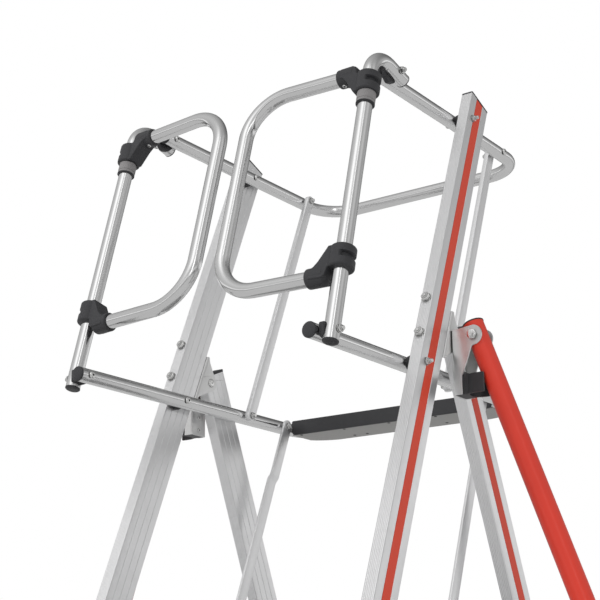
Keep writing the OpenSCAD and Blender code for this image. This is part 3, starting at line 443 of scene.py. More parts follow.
# The gate posts
# Each post is a 30 mm tube that stands outside the rails and leans back. Its top is bent over to lie beside
# the hand rail, where a second bolt holds it.
POST_X = 314.4 * MM
POST_LEAN = math.radians(14.56)
POST_BEND = 60 * MM
POST_OVER, STUB_OVER = 22 * MM, 30 * MM  # past the lower and the upper pivot
foot = pivot("gate_posts_fold")
reach_up = hand - knee


def placed(origin, x=(1, 0, 0), y=(0, 1, 0), z=(0, 0, 1)):
    """The place of a piece: takes points in the piece's own axes to points on the ladder."""
    axes, origin = np.array([x, y, z], float), np.array(origin, float)
    return lambda p: np.asarray(p, float) @ axes + origin


def place_in(place, origin, x=(1, 0, 0), y=(0, 1, 0), z=(0, 0, 1)):
    """A place inside another place, with its own origin and axes."""
    inner = placed(origin, x, y, z)
    return lambda p: place(inner(p))


def turned_over(place, height=0):
    """A place at a height on another's z, with its own z pointing the other way."""
    return place_in(place, (0, 0, height), y=(0, -1, 0), z=(0, 0, -1))


post_up = np.array([0, math.sin(POST_LEAN), math.cos(POST_LEAN)])
post_back = np.array([0, math.cos(POST_LEAN), -math.sin(POST_LEAN)])
post_foot = np.array([POST_X, foot[1], foot[2]])
at_post = placed(post_foot, (1, 0, 0), post_back, post_up)
stub_back, stub_up = reach_up @ post_back, reach_up @ post_up
stub_end = [0, stub_back + STUB_OVER, stub_up]
post_line = rounded([[0, 0, -POST_OVER], [0, 0, stub_up], stub_end], [POST_BEND], 3 * MM)
post_tube = swept(at_post(post_line), (1, 0, 0))
piece("gate_post_tube_right", [post_tube], tube_alu, "gate_posts", ["gate_post_right"])
piece("gate_post_tube_left", mirrored_x([post_tube]), tube_alu, "gate_posts", ["gate_post_left"])

# The gates
# A gate is a U of the same tube whose two ends are held in black clamps that turn on the post. It closes by
# itself on a spring under the upper clamp.
GATE_W = 284 * MM
GATE_LOW, GATE_HIGH = 115 * MM, 578 * MM
GATE_BEND = 92 * MM
SOCKET_MOUTH, SOCKET_DEPTH = 69 * MM, 27 * MM
GATE_REST = {"left": math.radians(4.1), "right": math.radians(2.0)}


def at_gate(side):
    """A gate's own axes: x from the post towards the middle, y square to the gate, z up along the post."""
    a = GATE_REST[side]
    x = np.array([-math.cos(a), 0, 0]) - math.sin(a) * post_back
    y = -math.sin(a) * np.array([-1, 0, 0]) - math.cos(a) * post_back
    to_right = placed(post_foot, x, -y, post_up)
    return to_right if side == "right" else (lambda p: to_right(p) * [-1, 1, 1])


tube_end = SOCKET_MOUTH - SOCKET_DEPTH
gate_corners = [[tube_end, 0, GATE_LOW], [GATE_W, 0, GATE_LOW], [GATE_W, 0, GATE_HIGH],
    [tube_end, 0, GATE_HIGH]]
gate_line = rounded(gate_corners, [GATE_BEND, GATE_BEND], 3 * MM)
for side in ("left", "right"):
    place = at_gate(side)
    flat = place([[0, 1, 0]])[0] - place([[0, 0, 0]])[0]
    piece(f"gate_tube_{side}", [swept(place(gate_line), flat)], tube_alu, f"{side}_gate", [f"gate_{side}"])

# The gate clamps
# A clamp is moulded in black nylon in one piece: a barrel with a slot half round it, which turns on the post,
# and a heavy arm that ends in a socket for the gate's tube. A small screw under the socket holds the tube.
BARREL_R, BARREL_H = 25 * MM, 46 * MM
CLAMP_STEP = 31 * MM
SOCKET_R = 19.5 * MM
SLOT_HALF, SLOT_DEEP = 5.6 * MM, 8 * MM
SCREW_AT = 56 * MM  # from the post's axis


def lathe(profile, around=48, radius_of=None):
    """A turned body: a profile of (radius, height) rows carried round z; radius_of may change each radius
    by angle."""
    profile = np.array(profile, float)
    a = np.linspace(0, 2 * np.pi, around, endpoint=False)
    r, z = np.meshgrid(profile[:, 0], a, indexing="ij")[0], profile[:, 1][:, None] + 0 * a
    r = radius_of(r, z, a[None, :] + 0 * r) if radius_of else r
    return np.stack([r * np.cos(a), r * np.sin(a), z], -1)


def softened(profile, r, n=4):
    """A profile with each corner but the first and last rounded to radius r."""
    p = np.array([[a, 0, b] for a, b in profile], float)
    line = [p[0]]
    for a, b, c in zip(p[:-2], p[1:-1], p[2:]):
        u, v = a - b, c - b
        lu, lv = np.linalg.norm(u), np.linalg.norm(v)
        cut = min(r, lu * 0.45, lv * 0.45)
        t = np.linspace(0, 1, n + 1)[:, None]
        p0, p2 = b + u / lu * cut, b + v / lv * cut
        line.extend((1 - t) ** 2 * p0 + 2 * t * (1 - t) * b + t**2 * p2)
    line.append(p[-1])
    return np.array(line)[:, [0, 2]]


def turned(profile, place, r=0.8 * MM, around=48, radius_of=None):
    """A closed turned body in its place, with softened corners and a lid at either end."""
    return shell(place(lathe(softened(profile, r), around, radius_of)))


def rod(r, length, place, edge=0.2 * MM, around=32):
    """A plain round bar along z."""
    return turned([(0, 0), (r, 0), (r, length), (0, length)], place, edge, around)


def oblong(x0, x1, y0, y1):
    """The corners of a rectangle."""
    return np.array([(x0, y0), (x1, y0), (x1, y1), (x0, y1)])


def slab(outline, low, high, place):
    """A flat plate: an outline of (x, y) points drawn from low to high along z, with a lid at either end."""
    outline = np.array(outline, float)
    rows = [np.column_stack([outline, np.full(len(outline), z)]) for z in (low, high)]
    return shell(place(np.array(rows)))


def eased(outline, radii, n=5):
    """A closed outline whose corners are rounded, each by its own radius or by one for all."""
    p = np.array(outline, float)
    radii = np.broadcast_to(radii, len(p))
    out = []
    for a, b, c, r in zip(np.roll(p, 1, 0), p, np.roll(p, -1, 0), radii):
        u, v = (a - b) / np.linalg.norm(a - b), (c - b) / np.linalg.norm(c - b)
        half = math.acos(np.clip(u @ v, -1, 1)) / 2
        if r <= 0 or half > math.radians(88):
            out.append(b[None])
            continue
        cut = min(r / math.tan(half), 0.48 * np.linalg.norm(a - b), 0.48 * np.linalg.norm(c - b))
        r = cut * math.tan(half)
        centre = b + (u + v) / np.linalg.norm(u + v) * r / math.sin(half)
        x, turn = (b + u * cut - centre) / r, math.pi - 2 * half
        t = np.linspace(0, turn, n + 1)[:, None]
        out.append(centre + r * (np.cos(t) * x - np.sin(t) * u))
    return np.concatenate(out)


def slotted(r, z, a):
    """The barrel's radius: sunk in a soft-edged slot on the side away from the arm."""
    in_height = 1 / (1 + np.exp((np.abs(z) - SLOT_HALF) / (0.2 * MM)))
    away = 1 / (1 + np.exp((math.radians(112) - np.abs((a + math.pi) % (2 * math.pi) - math.pi)) * 22))
    return r - SLOT_DEEP * in_height * away * (r > 20 * MM)


def clamp(place, height, step):
    """A gate clamp: its socket lies on z = height, and its barrel step further along z."""
    up = math.copysign(1, step)
    barrel = place_in(place, (0, 0, height + step))
    h = BARREL_H / 2
    rim = 2.5 * MM
    lower = [(0, -h), (BARREL_R - rim, -h), (BARREL_R, -h + rim)]
    wall = softened(lower + [(r, -z) for r, z in lower[::-1]], 1.2 * MM)
    middle = np.column_stack([np.full(25, BARREL_R), np.linspace(-8 * MM, 8 * MM, 25)])
    cut = np.searchsorted(wall[:, 1], 0)
    profile = np.concatenate([wall[:cut], middle, wall[cut:]])
    body = shell(barrel(lathe(profile, 96, slotted)))
    socket = place_in(place, (0, 0, height), (0, 1, 0), (0, 0, 1), (1, 0, 0))
    cup = [(0, 23), (11.5, 24), (19.5, 31), (19.5, 67), (17.5, 69), (15, 69), (14, 66), (0, 66)]
    arm = [(4, 54), (23, 54), (42, 23), (52, 12), (59, 11), (59, -11), (30, -12), (23, -7), (20, 9), (4, 9)]
    flat = place_in(place, (0, 0, height), (1, 0, 0), (0, 0, 1), (0, 1, 0))
    outline = eased(np.array(arm) * [1, up] * MM, np.array([3, 3, 8, 8, 2, 2, 6, 5, 3, 3]) * MM)
    return [body, turned(np.array(cup) * MM, socket, 1.0 * MM, 64), cushion(outline, 18.6 * MM, 2 * MM, flat)]


def cushion(outline, half, edge, place):
    """A thick plate with its two rims rolled over: the outline shrinks along a quarter circle towards each
    face."""
    centre = outline.mean(0)
    ahead = np.roll(outline, -1, 0) - np.roll(outline, 1, 0)
    normal = np.stack([ahead[:, 1], -ahead[:, 0]], 1) / np.linalg.norm(ahead, axis=1)[:, None]
    if ((outline - centre) * normal).sum() < 0:
        normal = -normal
    t = np.linspace(0, np.pi / 2, 6)
    drop = np.concatenate([edge * (1 - np.sin(t)), edge * (1 - np.sin(t[::-1]))])
    rise = np.concatenate([-half + edge * (1 - np.cos(t)), half - edge * (1 - np.cos(t[::-1]))])
    rows = outline[None] - drop[:, None, None] * normal[None]
    points = np.concatenate([rows, np.broadcast_to(rise[:, None, None], (*rows.shape[:2], 1))], -1)
    return shell(place(points))


def moulded(name, colour, rough, grain=0.25, scale=900.0, slot="black_plastic"):
    """Moulded plastic or rubber: an even colour, faintly cloudy, with a fine etched grain."""
    look = Finish(name, slot)
    place = look.node("TexCoord", out=3)
    fine = look.node("TexNoise", {"Vector": place, "Scale": scale, "Detail": 2.0})
    clouds = look.node("TexNoise", {"Vector": place, "Scale": 25.0, "Detail": 4.0})
    pale = tuple(min(1, c * 1.45 + 0.004) for c in colour)
    tint = look.blend(clouds, (*colour, 1), (*pale, 1))
    bump = look.node("Bump", {"Height": fine, "Strength": grain, "Distance": 0.0003})
    return look.principled({"Base Color": tint, "Roughness": clouds * 0.2 + (rough - 0.1),
        "Specular IOR Level": 0.4, "Normal": bump})


nylon = moulded("black_nylon", (0.020, 0.020, 0.022), 0.46)


def bright_metal(name, colour, rough, grain=60.0, painted_crevice_shade=1.6):
    """Zinc-plated or turned steel: small cloudy patches of dull and bright plating, and painted shade in its
    crevices.
    """
    look = Finish(name, "steel")
    place = look.node("TexCoord", out=3)
    patches = look.node("TexNoise", {"Vector": place, "Scale": grain, "Detail": 5.0, "Roughness": 0.6})
    fine = look.node("TexNoise", {"Vector": place, "Scale": 800.0, "Detail": 2.0})
    dark = tuple(c * 0.78 for c in colour)
    # Painted shade: where ambient occlusion finds nearby surfaces (gaps, crevices, key holes) the colour
    # falls to near black.
    open_air = look.node("AmbientOcclusion", {"Distance": 5 * MM}, out=1, samples=8) ** painted_crevice_shade
    tint = look.blend(open_air, (0.06, 0.06, 0.06, 1), look.blend(patches, (*dark, 1), (*colour, 1)))
    bump = look.node("Bump", {"Height": fine, "Strength": 0.08, "Distance": 0.0002})
    return look.principled({"Base Color": tint, "Metallic": 1.0, "Roughness": patches * 0.2 + (rough - 0.1),
        "Normal": bump})


zinc = bright_metal("zinc_plate", (0.90, 0.90, 0.89), 0.20)


def hex_radius(a, flats):
    """The radius of a hexagon, by angle: half its width over flats, over the cosine within each sixth."""
    return flats / 2 / np.cos((a % (np.pi / 3)) - np.pi / 6)


def by_angle(a, rows):
    """A grid whose rows each have a radius and a height, one for all or one for each angle."""
    return np.array([np.stack([r * np.cos(a), r * np.sin(a), z + 0 * a], -1) for r, z in rows])


def screw_head(place, r=4.6 * MM, key=4.8 * MM, rise=1.2 * MM):
    """A low round head with a hexagonal key hole: the hole's wall is a six-sided radius inside the round
    rim."""
    a = np.linspace(0, 2 * np.pi, 48, endpoint=False)
    six = hex_radius(a, key)
    rows = [(r, -2 * MM), (r, 0), (r * 0.93, rise * 0.6), (r * 0.78, rise), (six, rise),
        (six * 0.94, -0.9 * MM)]
    return shell(place(by_angle(a, rows)))


for side in ("left", "right"):
    place = at_gate(side)
    shells = clamp(place, GATE_HIGH, -CLAMP_STEP) + clamp(place, GATE_LOW, CLAMP_STEP)
    piece(f"gate_clamps_{side}", shells, nylon, f"{side}_gate", [f"gate_{side}_clamps"])
    heads = []
    for z, turn in ((GATE_LOW, -1), (GATE_HIGH, 1)):
        seat = (SCREW_AT, 0, z - turn * (SOCKET_R - 0.3 * MM))
        heads.append(screw_head(place_in(place, seat, y=(0, -turn, 0), z=(0, 0, -turn))))
    piece(f"socket_screws_{side}", heads, zinc, f"{side}_gate")

# The spring collars
# Under each upper clamp sits the grey housing of the closing spring, with a dark ring pressed on its lower
# edge.
COLLAR_H = 26 * MM
collar_top = GATE_HIGH - CLAMP_STEP - BARREL_H / 2 - 0.3 * MM
collar_rows = [(0, 0), (18.8, 0), (18.8, 6), (18.1, 6.2), (18.1, 7), (19, 7.2), (19, 25.4), (18.4, 26)]
grey_nylon = moulded("grey_nylon", (0.15, 0.145, 0.145), 0.5, slot="grey_plastic")
at_collar = place_in(at_post, (0, 0, collar_top - COLLAR_H))
collar = turned(np.array(collar_rows + [(0, 26)]) * MM, at_collar, 0.25 * MM, 64)
both_sides("spring_collar", [collar], "gate_posts", ["spring_collars"], grey_nylon)
ring_rows = np.array([(0, -1.2), (19.1, -1.2), (19.1, 0.6), (0, 0.6)]) * MM
ring = turned(ring_rows, at_collar, 0.3 * MM, 64)
both_sides("collar_ring", [ring], "gate_posts", (), nylon)

# The tube caps and saddles
# Every open tube end is closed with a domed black cap. Where a tube crosses another or a stile, a black
# saddle keeps them apart and stops them rubbing.


def cap_shell(place, r=TUBE_R, dome=3 * MM, rim=1.8 * MM):
    """A domed cap: a short rim as wide as the tube and a shallow dome, with z pointing out of the tube."""
    t = np.linspace(0, np.pi / 2, 7)
    rows = [(0, -2 * MM), (r, -0.2 * MM), (r + 0.3 * MM, 0), (r + 0.3 * MM, rim)]
    rows += [(r * 0.98 * math.cos(b) ** 0.6, rim + dome * math.sin(b)) for b in t[:-1]] + [(0, rim + dome)]
    return shell(place(lathe(np.array(rows), 48)))


def front_cap(at):
    """The cap on the front end of a rail's right side."""
    return cap_shell(placed(at + [RAIL_X, -REACH - OVERHANG, 0], (1, 0, 0), (0, 0, 1), (0, -1, 0)))


both_sides("knee_rail_end_caps", [front_cap(knee)], "knee_guard", ["knee_rail_caps"], nylon)
post_bottom = turned_over(at_post, -POST_OVER)
post_end = place_in(at_post, stub_end, (1, 0, 0), (0, 0, -1), (0, 1, 0))
ends = [cap_shell(post_bottom), cap_shell(post_end)]
both_sides("gate_post_end_caps", ends, "gate_posts", ["post_caps"], nylon)

SADDLE_X, WEDGE_X = (297.2 * MM, 303.5 * MM), (297.9 * MM, 308 * MM)


def saddle_ring(at):
    """The saddle between a rail and a stile: a thick washer, dished on the rail's side."""
    place = placed(at, (0, 1, 0), (0, 0, 1), (1, 0, 0))
    inner, outer = SADDLE_X
    rows = [(0, RAIL_X + 9 * MM), (14.5 * MM, RAIL_X + 9 * MM), (16 * MM, inner - 1 * MM)]
    return turned(rows + [(16 * MM, outer), (0, outer)], place)


both_sides("knee_rail_saddle", [saddle_ring(knee)], "knee_guard", ["knee_rail_saddles"], nylon)
at_hand = [saddle_ring(hand), front_cap(hand)]
both_sides("hand_rail_saddle", at_hand, "hand_guard", ["hand_rail_saddles"], nylon)

# The saddles under the gate posts are wedges that fill the corner between the leaning post and the rail.
upper_wedge = np.array([(-86, 602), (-36, 591), (-41, 584), (-52, 575), (-70, 571), (-80, 579)]) * MM
upper_wedge = eased(upper_wedge, np.array([3, 3, 6, 8, 8, 10]) * MM)
lower_wedge = eased(np.array([(-316, 14), (-282, 16), (-280, -10), (-300, -18), (-316, -12)]) * MM, 5 * MM)
across = placed(knee, (0, 1, 0), (0, 0, 1), (1, 0, 0))
wedges = [slab(line, *WEDGE_X, across) for line in (upper_wedge, lower_wedge)]
both_sides("post_wedges", wedges, "gate_posts", ["post_saddles"], nylon, bevel=1.2 * MM)

# The stiles
# A stile is an extruded box of aluminium, 73 by 26.5 mm. Its front and back faces have six soft ribs each,
# its inner face has three grooves, and a red band runs in a shallow channel down its outer face.
STILE_IN, STILE_W, STILE_D = 303.8 * MM, 26.5 * MM, 73 * MM
STILE_LEAN = math.radians(22)
PIVOT_IN = 20.6 * MM  # from the front face back to the line of pivots
STILE_TOP = 705 * MM
BAND_W = 25 * MM
SHOE_FLOOR = 4 * MM
BAND_START = 60 * MM  # above the floor, just clear of the shoes


def section(w, d, corner=2.6 * MM):
    """The extrusion's outline, x across and y front to back: ribs, grooves and the band's channel."""
    ribs = np.linspace(-w / 2 + corner, w / 2 - corner, 61)
    ripple = 0.7 * MM * (0.5 - 0.5 * np.cos(2 * np.pi * np.arange(61) / 10)) ** 2
    front = np.column_stack([ribs, -d / 2 + ripple])
    back = np.column_stack([ribs[::-1], d / 2 - ripple])
    channel = BAND_W / 2 + 0.6 * MM
    half_outer = [(w / 2, -d / 2 + corner), (w / 2, -channel - 0.8 * MM), (w / 2 - 0.9 * MM, -channel)]
    outer = half_outer + [(x, -y) for x, y in half_outer[::-1]]
    groove = [(-w / 2, 1 * MM), (0.6 * MM - w / 2, 0), (-w / 2, -1 * MM)]
    grooves = [(x, y + middle) for middle in (18 * MM, 0, -18 * MM) for x, y in groove]
    inner = [(-w / 2, d / 2 - corner), *grooves, (-w / 2, -d / 2 + corner)]
    turns = []
    cx, cy = w / 2 - corner, d / 2 - corner
    for x, y, start in ((cx, -cy, -90), (cx, cy, 0), (-cx, cy, 90), (-cx, -cy, 180)):
        t = np.radians(np.linspace(start, start + 90, 6))[1:-1]
        turns.append(np.column_stack([x + corner * np.cos(t), y + corner * np.sin(t)]))
    return np.concatenate([front, turns[0], outer, turns[1], back, turns[2], inner, turns[3]])


def beam(outline, place, top, floor_z):
    """An extrusion that runs from a level cut at floor_z, along its own z, to a square cut at top."""
    level = place(np.column_stack([outline, np.zeros(len(outline))]))
    up = place([[0, 0, 1.0]])[0] - place([[0, 0, 0.0]])[0]
    low = (floor_z - level[:, 2]) / up[2]
    heights = [low, np.full(len(outline), top)]
    rows = np.array([place(np.column_stack([outline, h])) for h in heights])
    seam = np.append(outline, outline[:1], 0)
    girth = np.concatenate([[0], np.linalg.norm(np.diff(seam, axis=0), axis=1).cumsum()])
    return shell(rows, (np.array([0, top - low.mean()]), girth))


extruded = drawn_metal("extruded_aluminium", (0.91, 0.91, 0.915), 520, 0.36, base_dark=0.88)
stile_up = np.array([0, math.sin(STILE_LEAN), math.cos(STILE_LEAN)])
stile_back = np.array([0, math.cos(STILE_LEAN), -math.sin(STILE_LEAN)])
stile_mid = STILE_IN + STILE_W / 2
stile_axis = knee + [stile_mid, 0, 0] + stile_back * (STILE_D / 2 - PIVOT_IN)
at_stile = placed(stile_axis, (1, 0, 0), stile_back, stile_up)
outline = section(STILE_W, STILE_D)
right_stile = beam(outline, at_stile, STILE_TOP, SHOE_FLOOR + 0.2 * MM)
piece("stile_extrusion_right", [right_stile], extruded, "front_frame", ["stile_right"], crease=24)
piece("stile_extrusion_left", mirrored_x([right_stile]), extruded, "front_frame", ["stile_left"], crease=24)


def painted(name, colour, rough, coat, peel=160.0, depth=0.05, coat_rough=0.25, slot="red_paint"):
    """Powder coat or printed film: a strong even colour, faintly mottled, with a fine orange-peel surface."""
    look = Finish(name, slot)
    place = look.node("TexCoord", out=3)
    peel_bumps = look.node("TexNoise", {"Vector": place, "Scale": peel, "Detail": 2.0})
    clouds = look.node("TexNoise", {"Vector": place, "Scale": 9.0, "Detail": 3.0})
    dark = tuple(c * 0.86 for c in colour)
    tint = look.blend(clouds, (*dark, 1), (*colour, 1))
    bump = look.node("Bump", {"Height": peel_bumps, "Strength": depth, "Distance": 0.0006})
    return look.principled({"Base Color": tint, "Roughness": clouds * 0.12 + (rough - 0.06),
        "Specular IOR Level": 0.3, "Coat Weight": coat, "Coat Roughness": coat_rough, "Normal": bump})


def band(place, top, floor_z):
    """The red band: a strip 0.7 mm thick that lies in the channel of the outer face."""
    low, high, half = STILE_W / 2 - 1.1 * MM, STILE_W / 2 - 0.15 * MM, BAND_W / 2
    return beam(oblong(low, high, -half, half), place, top, floor_z)


band_red = painted("band_red", (0.57, 0.050, 0.022), 0.46, 0.0)
strip = band(at_stile, STILE_TOP - 1 * MM, BAND_START)
both_sides("stile_band", [strip], "front_frame", (), band_red)


def end_cap(place, top, lip=0.5 * MM, height=4 * MM):
    """The black plug on a cut end: a plate a little wider than the section."""
    w, d = STILE_W / 2 + lip, STILE_D / 2 + lip
    return slab(eased(oblong(-w, w, -d, d), 3 * MM), top, top + height, place)


plug = end_cap(at_stile, STILE_TOP)
both_sides("stile_plug", [plug], "front_frame", ["stile_caps"], nylon, bevel=1.0 * MM)

# The rear legs
# The rear legs are cut from the same extrusion and hang on the hinge brackets just above the knee rail.
LEG_LEAN = math.radians(22.9)
HINGE_IN = 15 * MM
LEG_OVER = 15.5 * MM
hinge = pivot("rear_frame_fold")
leg_up = np.array([0, -math.sin(LEG_LEAN), math.cos(LEG_LEAN)])
leg_back = np.array([0, math.cos(LEG_LEAN), math.sin(LEG_LEAN)])
leg_axis = hinge + [stile_mid, 0, 0] + leg_back * (STILE_D / 2 - HINGE_IN)
at_leg = placed(leg_axis, (1, 0, 0), leg_back, leg_up)
right_leg = beam(outline, at_leg, LEG_OVER, SHOE_FLOOR + 0.2 * MM)
piece("rear_leg_extrusion_right", [right_leg], extruded, "rear_frame", ["rear_leg_right"], crease=24)
piece("rear_leg_extrusion_left", mirrored_x([right_leg]), extruded, "rear_frame", ["rear_leg_left"],
    crease=24)
strip = band(at_leg, LEG_OVER - 1 * MM, BAND_START)
both_sides("rear_leg_band", [strip], "rear_frame", (), band_red)
plug = end_cap(at_leg, LEG_OVER, height=6 * MM)
both_sides("rear_leg_plug", [plug], "rear_frame", ["rear_leg_caps"], nylon, bevel=1.0 * MM)

# The bolts of the frame
# Everything that folds turns on plated M8 bolts: a low round head with a hexagonal key hole on one side, and
# a washer and a lock nut, out of which the bolt's thread just shows, on the other.
BOLT_R = 4 * MM
WASHER_T = 1.5 * MM
SLIDE = 0.3 * MM
STILE_OUT = STILE_IN + STILE_W
THREAD_PITCH = 1.25 * MM
CORE_GAP = 0.02 * MM  # keeps a bolt's core inside its thread


def nut(place, flats=13 * MM, height=6.5 * MM, collar=2 * MM):
    """A lock nut: a hexagon whose corners are cut by a cone at both faces, with a round collar on top."""
    a = np.linspace(0, 2 * np.pi, 72, endpoint=False)
    six, ring, rim, bore = hex_radius(a, flats), flats / 2 * 0.97, flats / 2 * 0.80, BOLT_R + 0.25 * MM
    drop = (six - ring) * 0.55
    flat = height - collar
    rows = [(ring, 0), (six, drop), (six, flat - drop), (ring, flat), (rim, flat + 0.15 * MM),
        (rim, height - 0.5 * MM)]
    rows += [(rim * 0.94, height), (bore, height), (bore, height - 2 * MM)]
    return shell(place(by_angle(a, rows)))


def washer(place, r=8.2 * MM, thick=WASHER_T):
    """A flat washer with slightly rounded rims."""
    return turned([(0, 0), (r, 0), (r, thick), (0, thick)], place, 0.3 * MM)


def thread_end(place, low, high, r=BOLT_R):
    """The end of a bolt: its radius falls and rises along a helix of one thread's pitch, and its tip is
    cut to a cone."""
    z = np.arange(low, high, THREAD_PITCH / 6)
    rows = np.column_stack([np.full(len(z), r), z])
    tip = [(r * 0.72, high + 0.6 * MM), (0, high + 0.6 * MM)]
    rows = np.concatenate([[(0, low)], rows, [(r * 0.9, high)], tip])

    def helix(radius, height, a):
        wave = 0.5 - 0.5 * np.cos(2 * np.pi * height / THREAD_PITCH - a)
        return radius - 0.45 * MM * wave * ((height > low) & (height < high) & (radius > r * 0.95))

    return shell(place(lathe(rows, 36, helix)))


def button(place, r=7.5 * MM, height=4.2 * MM, key=5 * MM):
    """A low domed head with a hexagonal key hole."""
    a = np.linspace(0, 2 * np.pi, 72, endpoint=False)
    t = np.linspace(0, 1, 7)
    dome = [(r * (1 - 0.52 * k**1.6), height * (0.18 + 0.82 * math.sin(k * np.pi / 2))) for k in t]
    six = hex_radius(a, key)
    rows = [(r, 0), *dome, (six, height), (six * 0.96, height - 2.4 * MM)]
    return shell(place(by_angle(a, rows)))


def along_x(y, z, x, turn=1):
    """A place at (x, y, z), on the ladder's right, whose z runs outwards along X or, with turn -1,
    inwards."""
    return placed((x, y, z), (0, turn, 0), (0, 0, 1), (turn, 0, 0))


def cross_bolt(at, inside, outside, nut_height=6.5 * MM, tail=2.4 * MM, nut_inside=False,
    head=(7.5 * MM, 4.2 * MM, 5 * MM)):
    """A bolt through the right side at a pivot: its head lies on one face and its washer, nut and end on
    the other."""
    head_x, nut_x = (outside, inside) if nut_inside else (inside, outside)
    out = -1 if nut_inside else 1
    far = along_x(at[1], at[2], nut_x, out)
    near = along_x(at[1], at[2], head_x, -out)
    raised = place_in(far, (0, 0, WASHER_T))
    shank = turned_over(near)
    length = abs(nut_x - head_x)
    core = rod(BOLT_R - CORE_GAP, length, shank)
    return [button(near, *head), core, washer(far), nut(raised, height=nut_height),
        thread_end(raised, nut_height - 2.2 * MM, nut_height + tail)]


rail_inner, rail_outer = RAIL_X - TUBE_R, RAIL_X + TUBE_R
pivots = [cross_bolt(p, rail_inner - SLIDE, STILE_OUT, tail=6 * MM) for p in (knee, hand)]
both_sides("rail_pivot_fixings", sum(pivots, []), "front_frame", ["rail_pivot_bolts"])
platform_pivot = pivot("platform_fold")
BEAM_W, BEAM_GAP = 29.5 * MM, 3 * MM
BEAM_INNER = STILE_IN - BEAM_GAP - BEAM_W
pins = cross_bolt(platform_pivot, BEAM_INNER - SLIDE, STILE_OUT)
both_sides("platform_pivot_fixings", pins, "front_frame", ["platform_pivot_bolts"])

UPPER_IN, LOWER_IN = 252.5 * MM, 258 * MM
upper_low, lower_top = knee + [0, UPPER_LINK, 0], knee + [0, LOWER_LINK, 0]
upper_high = hand + [0, UPPER_LINK, 0]
pins = cross_bolt(upper_low, UPPER_IN - SLIDE, rail_outer, nut_inside=True, nut_height=5.5 * MM)
pins += cross_bolt(lower_top, LOWER_IN - SLIDE, rail_outer, nut_inside=True, nut_height=5.5 * MM)
both_sides("knee_link_fixings", pins, "knee_guard", ["knee_rail_bolts"])
post_top = hand + [0, -REACH, 0]
pins = cross_bolt(upper_high, UPPER_IN - SLIDE, rail_outer, nut_inside=True, nut_height=5.5 * MM)
pins += cross_bolt(post_top, rail_inner, POST_X + TUBE_R + SLIDE, nut_height=7 * MM, tail=2.5 * MM)
both_sides("hand_link_fixings", pins, "hand_guard", ["hand_rail_bolts"])
pins = cross_bolt(foot, rail_inner - SLIDE, POST_X + TUBE_R)
both_sides("post_foot_fixings", pins, "gate_posts", ["post_bolts"])

# The links
# The upper links are flat tubes of 25 by 12 mm that hang the knee rail from the hand rail. The lower links
# are flat bars, stepped inwards so that they pass the rail, which hang the platform from the knee rail. All
# ends are round.
UPPER_W, UPPER_T = 25 * MM, 12 * MM
LOWER_W, LOWER_T, JOGGLE = 28 * MM, 6 * MM, 5 * MM
JOGGLE_AT = 134 * MM
linked = drawn_metal("link_aluminium", (0.98, 0.98, 0.985), 420, 0.42, base_dark=0.94)


def stadium(t, length, half):
    """The half width of a bar with round ends, at distances t along it: a quarter circle at either end."""
    inset = np.minimum(t + half, length + half - t).clip(0, half)
    return np.sqrt(np.maximum(half**2 - (half - inset) ** 2, 1e-9))


def round_ended(length, half, n=9):
    """Distances along a bar from one round end to the other, close together on the ends."""
    q = half * (1 - np.cos(np.linspace(0, np.pi / 2, n)))
    return np.concatenate([-half + q, length + half - q[::-1]])


def bar(length, width, thick, place, step=None, edge=1.2 * MM):
    """A flat bar with round ends and softened edges; step gives its sideways shift along its length."""
    t = round_ended(length, width / 2)
    if step is not None:
        t = np.unique(np.concatenate([t, step[0]]))
    half = stadium(t, length, width / 2)
    shift = np.interp(t, *step) if step is not None else 0 * t
    e = np.minimum(edge, half * 0.9)
    loop = []
    for sx, sy in ((1, -1), (1, 1), (-1, 1), (-1, -1)):
        for k in (0, 0.5, 1) if sx * sy < 0 else (1, 0.5, 0):
            round_x, round_y = 1 - math.sin(k * np.pi / 2), 1 - math.cos(k * np.pi / 2)
            x = sx * (thick / 2 - edge * round_x) + shift
            y = sy * (half - e * round_y)
            loop.append(np.stack([x, y, t], -1))
    return shell(place(np.stack(loop, 1)), (t - t[0], np.linspace(0, 2 * (width + thick), 13)))


upper_mid, lower_mid = UPPER_IN + UPPER_T / 2, LOWER_IN + LOWER_T / 2
upper_place = placed(upper_low + [upper_mid, 0, 0], (1, 0, 0), stile_back, stile_up)
upper_len = np.linalg.norm(upper_high - upper_low)
upper = bar(upper_len, UPPER_W, UPPER_T, upper_place, edge=1.8 * MM)
both_sides("upper_link_bars", [upper], "upper_links", ["upper_links"], linked)
lower_place = placed(lower_top + [lower_mid, 0, 0], (1, 0, 0), -stile_back, -stile_up)
lower_len = np.linalg.norm(platform_pivot - knee)
bends = (np.array([-3, 1, 9, 13]) * MM + JOGGLE_AT, np.array([0, 0.12, 0.88, 1]) * JOGGLE)
lower = bar(lower_len, LOWER_W, LOWER_T, lower_place, bends)
both_sides("lower_link_bars", [lower], "lower_links", ["lower_links"], linked)

# The hinge brackets
# A folded steel bracket is bolted to the back of each stile, with a cheek on either side of the rear leg. The
# leg turns on one long bolt, which also holds the stabiliser's bracket.
PLATE = 3 * MM
HINGE_S, HINGE_T = 105.5 * MM, 86.2 * MM
BRACKET_UP, BRACKET_DOWN = 51 * MM, 60 * MM
NOSE = 18 * MM
plated = bright_metal("plated_sheet", (0.86, 0.86, 0.855), 0.34, 30.0, 0.4)


